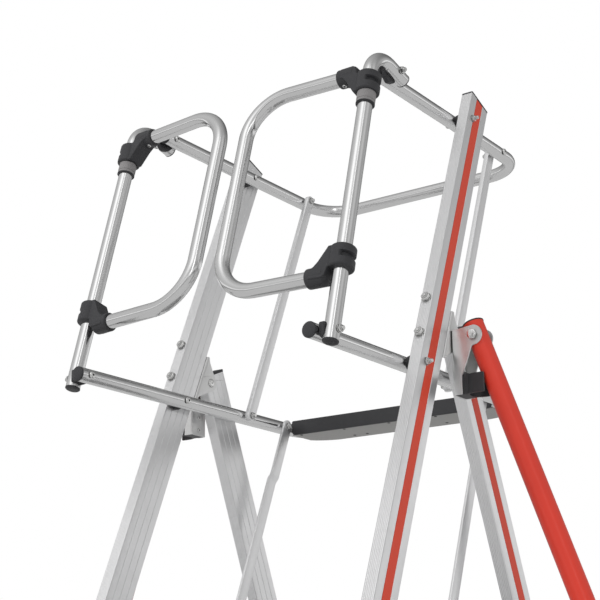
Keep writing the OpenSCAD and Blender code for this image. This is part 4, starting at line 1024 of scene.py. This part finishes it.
def nosed(p1, p2, c, r, n=14):
    """A triangle whose third corner is an arc of radius r round c, touched by the lines from p1 and p2."""
    p1, p2, c = (np.array(p, float) for p in (p1, p2, c))

    def touch(p, sign):
        d = c - p
        far = np.linalg.norm(d)
        lean = math.atan2(d[1], d[0]) + sign * math.asin(r / far)
        foot = p + math.sqrt(far**2 - r**2) * np.array([math.cos(lean), math.sin(lean)])
        return math.atan2(*(foot - c)[::-1])

    a, b = touch(p1, 1), touch(p2, -1)
    if a < b:
        a += 2 * math.pi
    t = np.linspace(a, b, n)
    return np.concatenate([[p1], np.column_stack([c[0] + r * np.cos(t), c[1] + r * np.sin(t)]), [p2]])


on_stile = placed(knee, stile_back, stile_up, (1, 0, 0))
plate_back = STILE_D - PIVOT_IN + 0.1 * MM
cheek_high, cheek_low = HINGE_S + BRACKET_UP, HINGE_S - BRACKET_DOWN
cheek = nosed((plate_back, cheek_high), (plate_back, cheek_low), (HINGE_T, HINGE_S), NOSE)
inner_cheek, outer_cheek = STILE_IN - PLATE - SLIDE, STILE_OUT + SLIDE


def folded(across, start, reach, levels, radius, place):
    """A U folded from PLATE: its base lies on y = start between the two across values, and its flanges run
    to reach."""
    turn = np.linspace(0, np.pi / 2, 7)
    rows = []
    for level, end in zip(levels, reach):
        sides = []
        for r, (low, high) in ((radius, across), (radius - PLATE, (across[0] + PLATE, across[1] - PLATE))):
            floor = start + radius - r
            arc = [(high - r + r * math.cos(t), floor + r - r * math.sin(t)) for t in turn]
            back = [(low + r - r * math.sin(t), floor + r - r * math.cos(t)) for t in turn]
            tip = max(end, arc[0][1] + 0.1 * MM)
            sides.append([(high, tip), *arc, *back, (low, tip)])
        rows.append([(y, level, x) for x, y in sides[0] + sides[1][::-1]])
    return shell(place(np.array(rows)))


levels = np.unique(np.concatenate([np.linspace(cheek_low, cheek_high, 12), cheek[:, 1]]))
ends = np.interp(levels, cheek[::-1, 1], cheek[::-1, 0])
bracket = folded((inner_cheek, outer_cheek + PLATE), plate_back, ends, levels, 5.5 * MM, on_stile)
both_sides("hinge_bracket_plates", [bracket], "front_frame", ["hinge_brackets"], plated, bevel=0.5 * MM)

WEB_X = STILE_OUT + PLATE + 2 * SLIDE
bracket_bolts = []
for s in (HINGE_S - 49 * MM, HINGE_S + 35 * MM):
    on_line = knee + [stile_mid, 0, 0] + stile_up * s
    front = placed(on_line - stile_back * PIVOT_IN, (1, 0, 0), stile_up, -stile_back)
    raised = place_in(front, (0, 0, WASHER_T))
    behind = placed(on_line + stile_back * (plate_back + PLATE), (1, 0, 0), -stile_up, stile_back)
    bracket_bolts += [washer(front, 10.3 * MM), nut(raised, 16.5 * MM, 9 * MM),
        thread_end(raised, 6.8 * MM, 10.2 * MM), button(behind)]
web_out = WEB_X + PLATE + SLIDE
bracket_bolts += cross_bolt(hinge, inner_cheek, web_out, nut_height=8 * MM, head=(9.8 * MM, 2.8 * MM, 3 * MM))
both_sides("hinge_fixings", bracket_bolts, "front_frame", ["hinge_bolts"])

# The stabiliser brackets
# A channel folded from 3 mm plated steel lies on the outside of each rear leg, pinned to it by a spacer. Its
# two flanges end in round lobes, and a 10 mm hexagon bolt through both carries the stabiliser.
STAB_X, STAB_R = 382 * MM, 21.2 * MM
LOBE, DROP, FOLD = 20 * MM, 116 * MM, 5 * MM
CHANNEL = STAB_R + 0.5 * MM  # half of the room between the flanges
CLIP_H, CLIP_OUT = 39 * MM, 26.6 * MM
STAB_BOLT_R = 5 * MM


def flange_reach(z):
    """How far a flange reaches out at height z: the larger of the lobe's circle and a slow taper, smoothly
    joined."""
    circle = np.where(np.abs(z) < LOBE, np.sqrt(np.maximum(LOBE**2 - z**2, 0)), -100 * MM)
    taper = np.interp(z, np.array([-DROP, -78 * MM, -75 * MM, -20.5 * MM]),
        np.array([-27.1, -27.1, -24.8, -3.2]) * MM)
    soft = 1.3 * MM
    return STAB_X + np.where(z > 0, circle, soft * np.logaddexp(circle / soft, taper / soft))


def channel():
    """The folded channel: at each height a U with round folds whose flanges end at flange_reach; its top
    edge slopes."""
    turn = np.linspace(0, np.pi / 2, 6)
    z = np.concatenate([np.linspace(-DROP, -22 * MM, 26), LOBE * np.sin(np.linspace(-1.45, np.pi / 2, 30))])
    out, inside = CHANNEL + PLATE, CHANNEL
    rows = []
    for level, reach in zip(z, flange_reach(z)):
        near = [(WEB_X + FOLD - FOLD * math.sin(t), -out + FOLD - FOLD * math.cos(t)) for t in turn]
        hollow = FOLD - PLATE
        under = [(WEB_X + FOLD - hollow * math.sin(t), -inside + hollow - hollow * math.cos(t)) for t in turn]
        half = [(reach, -out), *near]
        back = [(x, -y) for x, y in half[::-1]]
        lining = [(reach, inside), *[(x, -y) for x, y in under], *under[::-1], (reach, -inside)]
        rows.append([(x, y, level) for x, y in half + back + lining])
    points = np.array(rows)
    slope = 1 - 0.11 * (STAB_X - points[..., 0]).clip(0) / LOBE
    points[..., 2] = np.where(points[..., 2] > 0, points[..., 2] * slope, points[..., 2])
    return shell(points + hinge)


def hex_head(place, flats=17 * MM, height=6.4 * MM):
    """A hexagon bolt head: a round washer face, six flats, and corners cut by a cone on top."""
    a = np.linspace(0, 2 * np.pi, 72, endpoint=False)
    six, ring = hex_radius(a, flats), flats / 2 * 0.96
    drop = (six - ring) * 0.5
    rows = [(ring, 0), (ring, 0.4 * MM), (six, 0.45 * MM), (six, height - drop), (ring, height),
        (ring * 0.05, height)]
    return shell(place(by_angle(a, rows)))


both_sides("stabiliser_channel", [channel()], "rear_frame", ["stabiliser_brackets"], plated, crease=30,
    bevel=0.5 * MM)
pin_y, pin_z = hinge[1] + CHANNEL - 7 * MM, hinge[2] - 53 * MM
spacer = rod(7 * MM, WEB_X - STILE_OUT, along_x(pin_y, pin_z, STILE_OUT), 0.4 * MM, 40)
pin_head = button(along_x(pin_y, pin_z, WEB_X + PLATE), 6 * MM, 3 * MM, 4 * MM)
both_sides("channel_pins", [spacer, pin_head], "rear_frame")
face = CHANNEL + PLATE
at_front = placed(hinge + [STAB_X, -face, 0], (1, 0, 0), (0, 0, 1), (0, -1, 0))
at_rear = placed(hinge + [STAB_X, face, 0], (1, 0, 0), (0, 0, -1), (0, 1, 0))
over_washer = place_in(at_rear, (0, 0, 1.8 * MM))
bolt_core = rod(STAB_BOLT_R - CORE_GAP, 2 * face, turned_over(at_front))
stab_bolt = [hex_head(at_front, 18.5 * MM, 7.5 * MM), bolt_core, washer(at_rear, 10 * MM, 1.8 * MM),
    nut(over_washer, 17 * MM, 8 * MM), thread_end(over_washer, 5.5 * MM, 10 * MM, STAB_BOLT_R)]
both_sides("stabiliser_hinge_bolts", stab_bolt, "rear_frame", ["stabiliser_bolts"])

# The stabiliser clips
# A clip of black nylon is riveted into the foot of each channel. A stowed stabiliser snaps in between its two
# lips.


def clip_outline():
    """The clip from above: a stem, a ring open on its outer side, and two straight lips."""
    stem, half, bore = WEB_X + PLATE + 0.2 * MM, CHANNEL - 0.3 * MM, STAB_R + 0.4 * MM
    start = math.atan2(half, -math.sqrt(CLIP_OUT**2 - half**2))
    outer = np.linspace(start, np.pi / 2, 10)
    inner = np.linspace(np.pi / 2, 3 * np.pi / 2, 33)
    upper = [(CLIP_OUT * math.cos(t), CLIP_OUT * math.sin(t)) for t in outer]
    lips = [(LOBE, CLIP_OUT), (LOBE, bore)]
    hollow = [(bore * math.cos(t), bore * math.sin(t)) for t in inner]
    lower = [(x, -y) for x, y in (upper + lips)[::-1]]
    ring = [(STAB_X + x, y) for x, y in upper + lips + hollow + lower]
    return np.array([(stem, half), *ring, (stem, -half)])


at_clip = placed(hinge)
stem_x, stem_y = (WEB_X + PLATE + 0.2 * MM, STAB_X - CLIP_OUT), CHANNEL - 0.3 * MM
stem_block = oblong(*stem_x, -stem_y, stem_y)
clip_top = CLIP_H - DROP
clip_shells = [slab(clip_outline(), -DROP, clip_top, at_clip),
    slab(stem_block, clip_top - 1 * MM, clip_top + 8 * MM, at_clip)]
both_sides("stabiliser_clip", clip_shells, "rear_frame", ["stabiliser_clips"], nylon, bevel=0.7 * MM)
rivet_rows = [(0, -1), (4.8, -1), (4.8, 0.3), (4.1, 1.3), (2.6, 1.7), (1.9, 1.5), (1.8, -0.6), (0, -0.6)]
rivet_rows = np.array(rivet_rows) * MM
rivets = [turned(rivet_rows, along_x(hinge[1], hinge[2] - DROP + z, WEB_X, -1), 0.3 * MM, 40)
    for z in (12 * MM, 40 * MM)]
both_sides("clip_rivet_heads", rivets, "rear_frame", ["clip_rivets"])

# The tool tray
# The back bend of the knee rail carries a tray: a floor of 2 mm sheet riveted up under the tube, and a
# moulded black wall across its front.
TRAY_HALF, TRAY_FRONT = 266 * MM, 387 * MM
SHEET = 2 * MM
tray_top = -TUBE_R - 0.1 * MM
reach = RAIL_BEND + TUBE_R - 2 * MM
bend_x, bend_y = RAIL_X - RAIL_BEND, KNEE_BACK - RAIL_BEND
t = np.linspace(math.acos((TRAY_HALF - bend_x) / reach), np.pi / 2, 16)
right_edge = np.column_stack([bend_x + reach * np.cos(t), bend_y + reach * np.sin(t)])
tray_line = np.concatenate([[(-TRAY_HALF, TRAY_FRONT), (TRAY_HALF, TRAY_FRONT)], right_edge,
    right_edge[::-1] * [-1, 1]])
flat_on = placed(knee)
grey_sheet = painted("grey_sheet", (0.285, 0.282, 0.272), 0.50, 0.15, 240.0, 0.08, slot="deck_frame")
piece("tray_floor", [slab(tray_line, tray_top - SHEET, tray_top, flat_on)], grey_sheet, "knee_guard",
    ["tool_tray"], bevel=0.4 * MM)
screws = [(x * MM, KNEE_BACK - 12 * MM, tray_top - SHEET) for x in (-143, -107.5, 107.5, 143)]
wall_low, wall_high = tray_top - SHEET, tray_top + 32 * MM
wall_line = eased(oblong(-TRAY_HALF, TRAY_HALF, wall_low, wall_high), np.array([10, 10, 4, 4]) * MM, 7)
upright = placed(knee, (1, 0, 0), (0, 0, 1), (0, -1, 0))
wall_shells = [slab(wall_line, -TRAY_FRONT, -TRAY_FRONT + 4 * MM, upright)]
ledge_x = TRAY_HALF - 2 * MM
ledge = oblong(-ledge_x, ledge_x, TRAY_FRONT - 1 * MM, TRAY_FRONT + 16 * MM)
wall_shells.append(slab(ledge, tray_top + 0.05 * MM, tray_top + 1.5 * MM, flat_on))
tray_black = moulded("tray_black", (0.028, 0.028, 0.030), 0.50, 0.35, 600.0)
piece("tray_front_wall", wall_shells, tray_black, "knee_guard", ["tray_front"], bevel=0.6 * MM)
screws += [(x, TRAY_FRONT + 5 * MM, wall_low) for x in np.arange(-2, 3) * 122 * MM]
down = [placed(knee + p, (1, 0, 0), (0, -1, 0), (0, 0, -1)) for p in screws]
piece("tray_rivets", [button(d, 3.6 * MM, 1.2 * MM, 1.2 * MM) for d in down], nylon, "knee_guard")

# The stabiliser tubes
# Each stabiliser is a red powder-coated steel tube of 42.4 mm with a plain aluminium tube inside it. A black
# clamp with a star knob at its lower end holds the inner tube where it is set, and a black plug closes its
# top.
STAB_LEAN = math.radians(19.6)
STAB_OVER, STAB_LEN = 30 * MM, 1500 * MM
INNER_R = 18.8 * MM
WALL = 2 * MM
INNER_TOP = STAB_LEN - 380 * MM
stab_red = painted("stabiliser_red", (0.60, 0.034, 0.016), 0.42, 0.35, 190.0, 0.04, 0.12)
soft_black = moulded("soft_black", (0.016, 0.016, 0.017), 0.60, 0.35, 500.0)
inner_alu = drawn_metal("inner_tube", (0.80, 0.80, 0.80), 700, 0.26, by_map=False, axis=2)


def pipe(r_out, r_in, low, high, place, around=72, lip=0.5 * MM):
    """An open tube along z: its profile goes up the outside and down the inside, over two softened rims."""
    rows = [(r_in, low + lip), (r_in + lip, low), (r_out - lip, low), (r_out, low + lip)]
    rows += [(r, low + high - z) for r, z in rows[::-1]] + rows[:1]
    return grid(place(lathe(np.array(rows), around)))


def knob(place, r, height, lobes=6):
    """A star knob: a turned button whose radius swells and shrinks with the angle, least at its rims."""
    t = np.linspace(0, np.pi / 2, 6)
    low, high, dish = 2 * MM, 4 * MM, height - 1.2 * MM
    rows = [(0, 0), *((r - low + low * math.sin(b), low - low * math.cos(b)) for b in t)]
    rows += [(r - high + high * math.cos(b), height - high + high * math.sin(b)) for b in t]
    rows += [(r * 0.45, height), (r * 0.38, dish), (0, dish)]

    def lobed(q, z, a):
        return q * (1 - 0.13 * (q / r) ** 2 * (0.5 - 0.5 * np.cos(lobes * a)) ** 1.5)

    return shell(place(lathe(rows, 96, lobed)))


for side, turn in (("left", -1), ("right", 1)):
    top = hinge + [turn * STAB_X, 0, 0]
    along = np.array([turn * math.sin(STAB_LEAN), 0, -math.cos(STAB_LEAN)])
    inward = np.array([-turn * math.cos(STAB_LEAN), 0, -math.sin(STAB_LEAN)])
    on_tube = placed(top, inward, (0, 1, 0), along)
    upward = turned_over(on_tube, -STAB_OVER)
    outer = pipe(STAB_R, STAB_R - WALL, -STAB_OVER, STAB_LEN, on_tube)
    on_arm, on_leg = f"{side}_stabiliser", f"{side}_stabiliser_leg"
    red_tube = piece(f"stabiliser_outer_{side}", [outer], stab_red, on_arm, [f"stabiliser_tube_{side}"])
    red_tube.visible_glossy = False
    ring_low, ring_high = STAB_LEN - 34 * MM, STAB_LEN + 8 * MM
    bore, skin, rim, waist = INNER_R + 0.5 * MM, STAB_R + 0.1 * MM, STAB_R + 4 * MM, STAB_R + 2.8 * MM
    sleeve_rows = [(bore, STAB_LEN), (skin, STAB_LEN), (skin, ring_low), (rim, ring_low),
        (rim, ring_low + 9 * MM)]
    sleeve_rows += [(waist, ring_low + 11 * MM), (waist, ring_high - 12 * MM), (rim, ring_high - 10 * MM)]
    sleeve_rows += [(STAB_R + 3 * MM, ring_high), (bore, ring_high), (bore, STAB_LEN)]
    sleeve = grid(on_tube(lathe(softened(sleeve_rows, 0.8 * MM), 72)))
    lug_corners = oblong(-STAB_R - 16 * MM, -STAB_R - 1 * MM, -9 * MM, 9 * MM)
    lug_line = eased(lug_corners, np.array([3, 0.5, 0.5, 3]) * MM)
    lug = slab(lug_line, ring_low + 6 * MM, ring_low + 30 * MM, on_tube)
    neck_at = place_in(on_tube, (-STAB_R - 15 * MM, 0, ring_low + 18 * MM), (0, 0, 1), (0, -1, 0), (-1, 0, 0))
    knob_at = place_in(neck_at, (0, 0, 9 * MM))
    neck = turned(np.array([(0, 0), (6, 0), (5, 9.5), (0, 9.5)]) * MM, neck_at, 0.5 * MM)
    fittings = [cap_shell(upward, STAB_R + 0.5 * MM, 1.2 * MM, 2 * MM), sleeve, lug, neck,
        knob(knob_at, 15 * MM, 18 * MM)]
    piece(f"stabiliser_clamp_{side}", fittings, soft_black, on_arm, [f"stabiliser_fittings_{side}"])
    pin_at = pivot(f"{side}_foot_swivel")
    foot_run = float((pin_at - top) @ along)
    tongue_at = place_in(on_tube, (0, 0, foot_run - 18 * MM), (0, 1, 0), (-1, 0, 0))
    tongue = bar(18 * MM, 20 * MM, 12 * MM, tongue_at, edge=1.0 * MM)
    plug_rows = [(0, -27), (18.4, -27), (19.2, -22), (17.8, -18), (0, -17)]
    inner = pipe(INNER_R, INNER_R - WALL, INNER_TOP, foot_run - 22.5 * MM, on_tube)
    piece(f"stabiliser_inner_{side}", [inner, tongue], inner_alu, on_leg, [f"stabiliser_leg_{side}"])
    plug = turned(np.array(plug_rows) * MM + [0, foot_run], on_tube, 0.6 * MM)
    piece(f"stabiliser_inner_plug_{side}", [plug], nylon, on_leg)

# The stabiliser feet
# A foot is a ribbed rubber pad under a pressed steel dish, with two ears that tilt on the end of the inner
# tube.
PAD_R, PIN_R = 45 * MM, 5 * MM
rubber = moulded("rubber", (0.014, 0.014, 0.014), 0.72, 0.5, 350.0, "rubber")


def ribbed(r, z, a):
    """The pad's rim: 48 upright ribs of half a millimetre."""
    return r + 0.5 * MM * np.cos(48 * a) * (r > PAD_R - 1 * MM)


pad_rows = np.array([(0, 0), (43, 0), (44.5, 2), (44.5, 8), (42, 10), (0, 10)]) * MM
dish_rows = np.array([(0, 9.8), (40, 9.8), (41, 12), (35, 14), (18, 14), (15, 16), (0, 16)]) * MM
for side in ("left", "right"):
    pin_at = pivot(f"{side}_foot_swivel")
    on_floor = placed([pin_at[0], pin_at[1], 0])
    pad = turned(pad_rows, on_floor, 0.6 * MM, 192, ribbed)
    piece(f"foot_pad_{side}", [pad], rubber, f"{side}_foot")
    dish = turned(dish_rows, on_floor, 1.0 * MM, 72)
    up = pin_at[2] - 22 * MM
    ear_places = [place_in(on_floor, (0, y, up), (0, 1, 0), (-1, 0, 0)) for y in (-8.3 * MM, 8.3 * MM)]
    ears = [bar(22 * MM, 24 * MM, 4 * MM, place, edge=0.6 * MM) for place in ear_places]
    pin_axis = placed(pin_at - [0, 10.4 * MM, 0], (1, 0, 0), (0, 0, -1), (0, 1, 0))
    head = turned_over(pin_axis)
    pin = [rod(PIN_R, 23.4 * MM, pin_axis, 0.6 * MM, 40), button(head, 8 * MM, 4 * MM, 5 * MM)]
    piece(f"foot_dish_{side}", [dish, *ears, *pin], zinc, f"{side}_foot", [f"stabiliser_foot_{side}"])

# The shoes
# A soft black shoe is pressed over the foot of each leg. Its ribs run round it, and its sole lies flat on the
# floor.
SHOE_H, SHOE_WALL = 55 * MM, 4 * MM
RIB_FIRST, RIB_PITCH = 14 * MM, 9 * MM  # the height of the shoe's lowest rib, and the step to the next


def shoe(mid, lean):
    """A sleeve: a rectangle with round corners carried up the lean, wider by a smooth wave at each of its
    ribs."""
    z = np.linspace(0, SHOE_H, 73)
    wave = np.clip(np.cos(2 * np.pi * (z - RIB_FIRST) / RIB_PITCH) * 2, -1, 1)
    wave = wave * ((z > RIB_FIRST - 0.5 * RIB_PITCH) & (z < RIB_FIRST + 3.5 * RIB_PITCH))
    swell = 0.6 * MM * wave - 2 * MM * np.exp(-z / (1.2 * MM)) - 1.5 * MM * np.exp((z - SHOE_H) / (1.0 * MM))
    w, d = STILE_W / 2 + SHOE_WALL, STILE_D / 2 / math.cos(lean) + SHOE_WALL
    rim = eased(oblong(-w, w, -d, d), 5 * MM, 6)
    out = rim / np.linalg.norm(rim / [w, d], axis=1, keepdims=True) / [w, d]
    rows = rim[None] + swell[:, None, None] * out[None] / np.abs(out).max()
    y = mid + z[:, None] * math.tan(lean) + rows[..., 1]
    return shell(np.stack([stile_mid + rows[..., 0], y, np.broadcast_to(z[:, None], y.shape)], -1))


shoe_rubber = moulded("shoe_rubber", (0.018, 0.018, 0.019), 0.62, 0.45, 400.0, "rubber")
front_mid = knee[1] - knee[2] * math.tan(STILE_LEAN) + (STILE_D / 2 - PIVOT_IN) / math.cos(STILE_LEAN)
both_sides("front_shoe", [shoe(front_mid, STILE_LEAN)], "front_frame", ["front_shoes"], shoe_rubber,
    crease=50)


def leg_middle(z):
    """Where the rear leg's middle line passes the height z."""
    return hinge[1] + (STILE_D / 2 - HINGE_IN) / math.cos(LEG_LEAN) - (z - hinge[2]) * math.tan(LEG_LEAN)


both_sides("rear_shoe", [shoe(leg_middle(0), -LEG_LEAN)], "rear_frame", ["rear_shoes"], shoe_rubber,
    crease=50)

# The transport wheels
# Two wheels hang just off the floor behind the rear legs and touch it when the ladder is tipped back. Each
# has a solid black tyre on a grey nylon hub with six ribs, and turns on an axle between two steel plates.
WHEEL_R = 62.5 * MM
wheel_grey = moulded("wheel_grey", (0.17, 0.17, 0.175), 0.5, 0.3, 700.0, "grey_plastic")
tyre_black = moulded("tyre_black", (0.015, 0.015, 0.015), 0.68, 0.5, 320.0, "tyre")
axle = pivot("right_wheel_spin")


def treaded(r, z, a):
    """The tyre's radius: cut 1.4 mm deep by slanting grooves near both shoulders."""
    slant = np.cos(36 * a + z / MM * 0.35)
    return r - 1.4 * MM / (1 + np.exp(-(slant - 0.55) * 14)) * (np.abs(z) > 3.2 * MM) * (r > WHEEL_R - 7 * MM)


tyre_half = [(46.6, 12.4), (52, 12.7), (57, 11.6), (60.2, 9.2), (61.9, 6.0), (62.4, 3.4), (62.5, 3.0)]
tyre_rows = np.array([(r, -w) for r, w in tyre_half] + [(62.5, 0.0)] + tyre_half[::-1] + [(46.6, -12.4)]) * MM
hub_half = [(0, 12.9), (13.2, 12.9), (14, 12.1), (14.6, 4.5), (19, 3), (35, 3), (37.5, 9.5), (39, 10.8),
    (45.5, 10.8), (46.4, 9.8)]
hub_rows = np.array([(r, -w) for r, w in hub_half] + hub_half[::-1]) * MM
rib_line = np.array([(12, -2), (38.5, -1.6), (38.5, 1.6), (12, 2)]) * MM
for side, turn in (("left", -1), ("right", 1)):
    at_axle = placed([turn * stile_mid, axle[1], axle[2]], (0, 1, 0), (0, 0, turn), (turn, 0, 0))
    tyre = grid(at_axle(lathe(softened(tyre_rows, 0.7 * MM, 2), 288, treaded)))
    piece(f"wheel_tyre_{side}", [tyre], tyre_black, f"{side}_wheel", [f"wheel_{side}_tyre"])
    ribs = []
    for k in range(6):
        c, s = math.cos(k * math.pi / 3), math.sin(k * math.pi / 3)
        for face in (1, -1):
            rib_at = place_in(at_axle, (0, 0, 0), (c, s, 0), (-s * face, c * face, 0), (0, 0, face))
            ribs.append(slab(rib_line, 2.5 * MM, 8.5 * MM, rib_at))
    hub = shell(at_axle(lathe(softened(hub_rows, 0.8 * MM, 3), 72)))
    piece(f"wheel_hub_{side}", [hub, *ribs], wheel_grey, f"{side}_wheel", [f"wheel_{side}_hub"])

from_side = along_x(0, 0, 0)
fork_top, fork_low = axle[2] + 75 * MM, axle[2] + 5 * MM
fork_ends = [(leg_middle(z) - 20 * MM, z) for z in (fork_top, fork_low)]
fork = nosed(*fork_ends, (axle[1], axle[2]), 16 * MM)
fork_in, fork_out = STILE_IN - PLATE - 0.1 * MM, STILE_OUT + 0.1 * MM
plates = [slab(fork, x, x + PLATE, from_side) for x in (fork_in, fork_out)]
both_sides("wheel_fork_plates", plates, "rear_frame", ["wheel_forks"], plated, bevel=0.7 * MM)
axle_place = along_x(axle[1], axle[2], fork_in - 1 * MM)
bar_of_axle = rod(PIN_R, STILE_W + 2 * PLATE + 10 * MM, axle_place, 0.6 * MM, 40)
axle_nut = along_x(axle[1], axle[2], fork_out + PLATE)
fork_bolts = [bar_of_axle, button(along_x(axle[1], axle[2], fork_in, -1), 9 * MM, 4 * MM, 6 * MM),
    nut(axle_nut, 17 * MM, 8 * MM)]
for z in (22 * MM, 58 * MM):
    y = leg_middle(axle[2] + z)
    for x, out in ((fork_in, -1), (fork_out + PLATE, 1)):
        fork_bolts.append(button(along_x(y, axle[2] + z, x, out), 6.5 * MM, 3 * MM, 4 * MM))
both_sides("wheel_fork_fixings", fork_bolts, "rear_frame")

# The treads
# Each tread is one hollow aluminium extrusion, 80 mm deep, cut to fit between the stiles and swaged into
# them. Its top is closely grooved for grip and its front edge is a round nosing.
TREAD_D, TREAD_H, TREADS = 80 * MM, 27 * MM, 6
tread_alu = drawn_metal("tread_aluminium", (0.80, 0.80, 0.80), 520, 0.34, base_dark=0.84)


def tread_line():
    """A tread from its end: grooves 1.3 mm deep about every 4 mm on top, round front corners, straight
    back."""
    n = 18
    pitch = (TREAD_D - 10 * MM) / n
    x = -TREAD_D / 2 + 5 * MM + np.arange(n + 1) * pitch
    top = [(p + d * MM, -h * MM) for p in x for d, h in ((-0.9, 0), (-0.35, 1.3), (0.35, 1.3), (0.9, 0))]
    half = TREAD_D / 2
    under = [(half, 0), (half, -TREAD_H), (-half, -TREAD_H), (-half, 0)]
    frame = eased(under, np.array([2.5, 2.5, 5, 3.5]) * MM)
    return np.concatenate([top, frame])


for i in range(1, TREADS + 1):
    low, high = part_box(f"tread_{i}")
    middle = (low[1] + high[1]) / 2
    at_tread = along_x(middle, high[2], 0)
    step = slab(tread_line(), -STILE_IN, STILE_IN, at_tread)
    piece(f"tread_{i}_extrusion", [step], tread_alu, "front_frame", [f"tread_{i}"], crease=24)

# The platform and the rear bars
# The platform's boards, its frame, and the bars and braces between the rear legs keep the shapes of the
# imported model; their edges are softened, and each gets the finish of its metal.
board_alu = drawn_metal("board_aluminium", (0.80, 0.80, 0.80), 420, 0.36, by_map=False, axis=0)
frame_alu = drawn_metal("frame_aluminium", (0.50, 0.50, 0.51), 420, 0.38, by_map=False, axis=1)
bar_alu = drawn_metal("bar_aluminium", (0.80, 0.80, 0.805), 420, 0.34, by_map=False, axis=0)


def dressed(node, finishes, edge):
    """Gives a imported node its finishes, one for each of its slots, and rounds its sharp edges a little."""
    made = frame["nodes"][node]
    for slot, finish in zip(made.material_slots, finishes + finishes[-1:] * len(made.material_slots)):
        slot.material = finish
    weld = made.modifiers.new("weld", "WELD")
    weld.merge_threshold = 0.01 * MM
    round_off = made.modifiers.new("edges", "BEVEL")
    round_off.width, round_off.segments, round_off.limit_method = edge, 2, "ANGLE"
    round_off.angle_limit, round_off.harden_normals = math.radians(40), True


dressed("platform_deck", [board_alu], 0.3 * MM)
dressed("platform_frame", [frame_alu, zinc], 0.6 * MM)
dressed("rear_bars", [bar_alu], 0.8 * MM)
dressed("rear_braces", [bar_alu], 0.6 * MM)
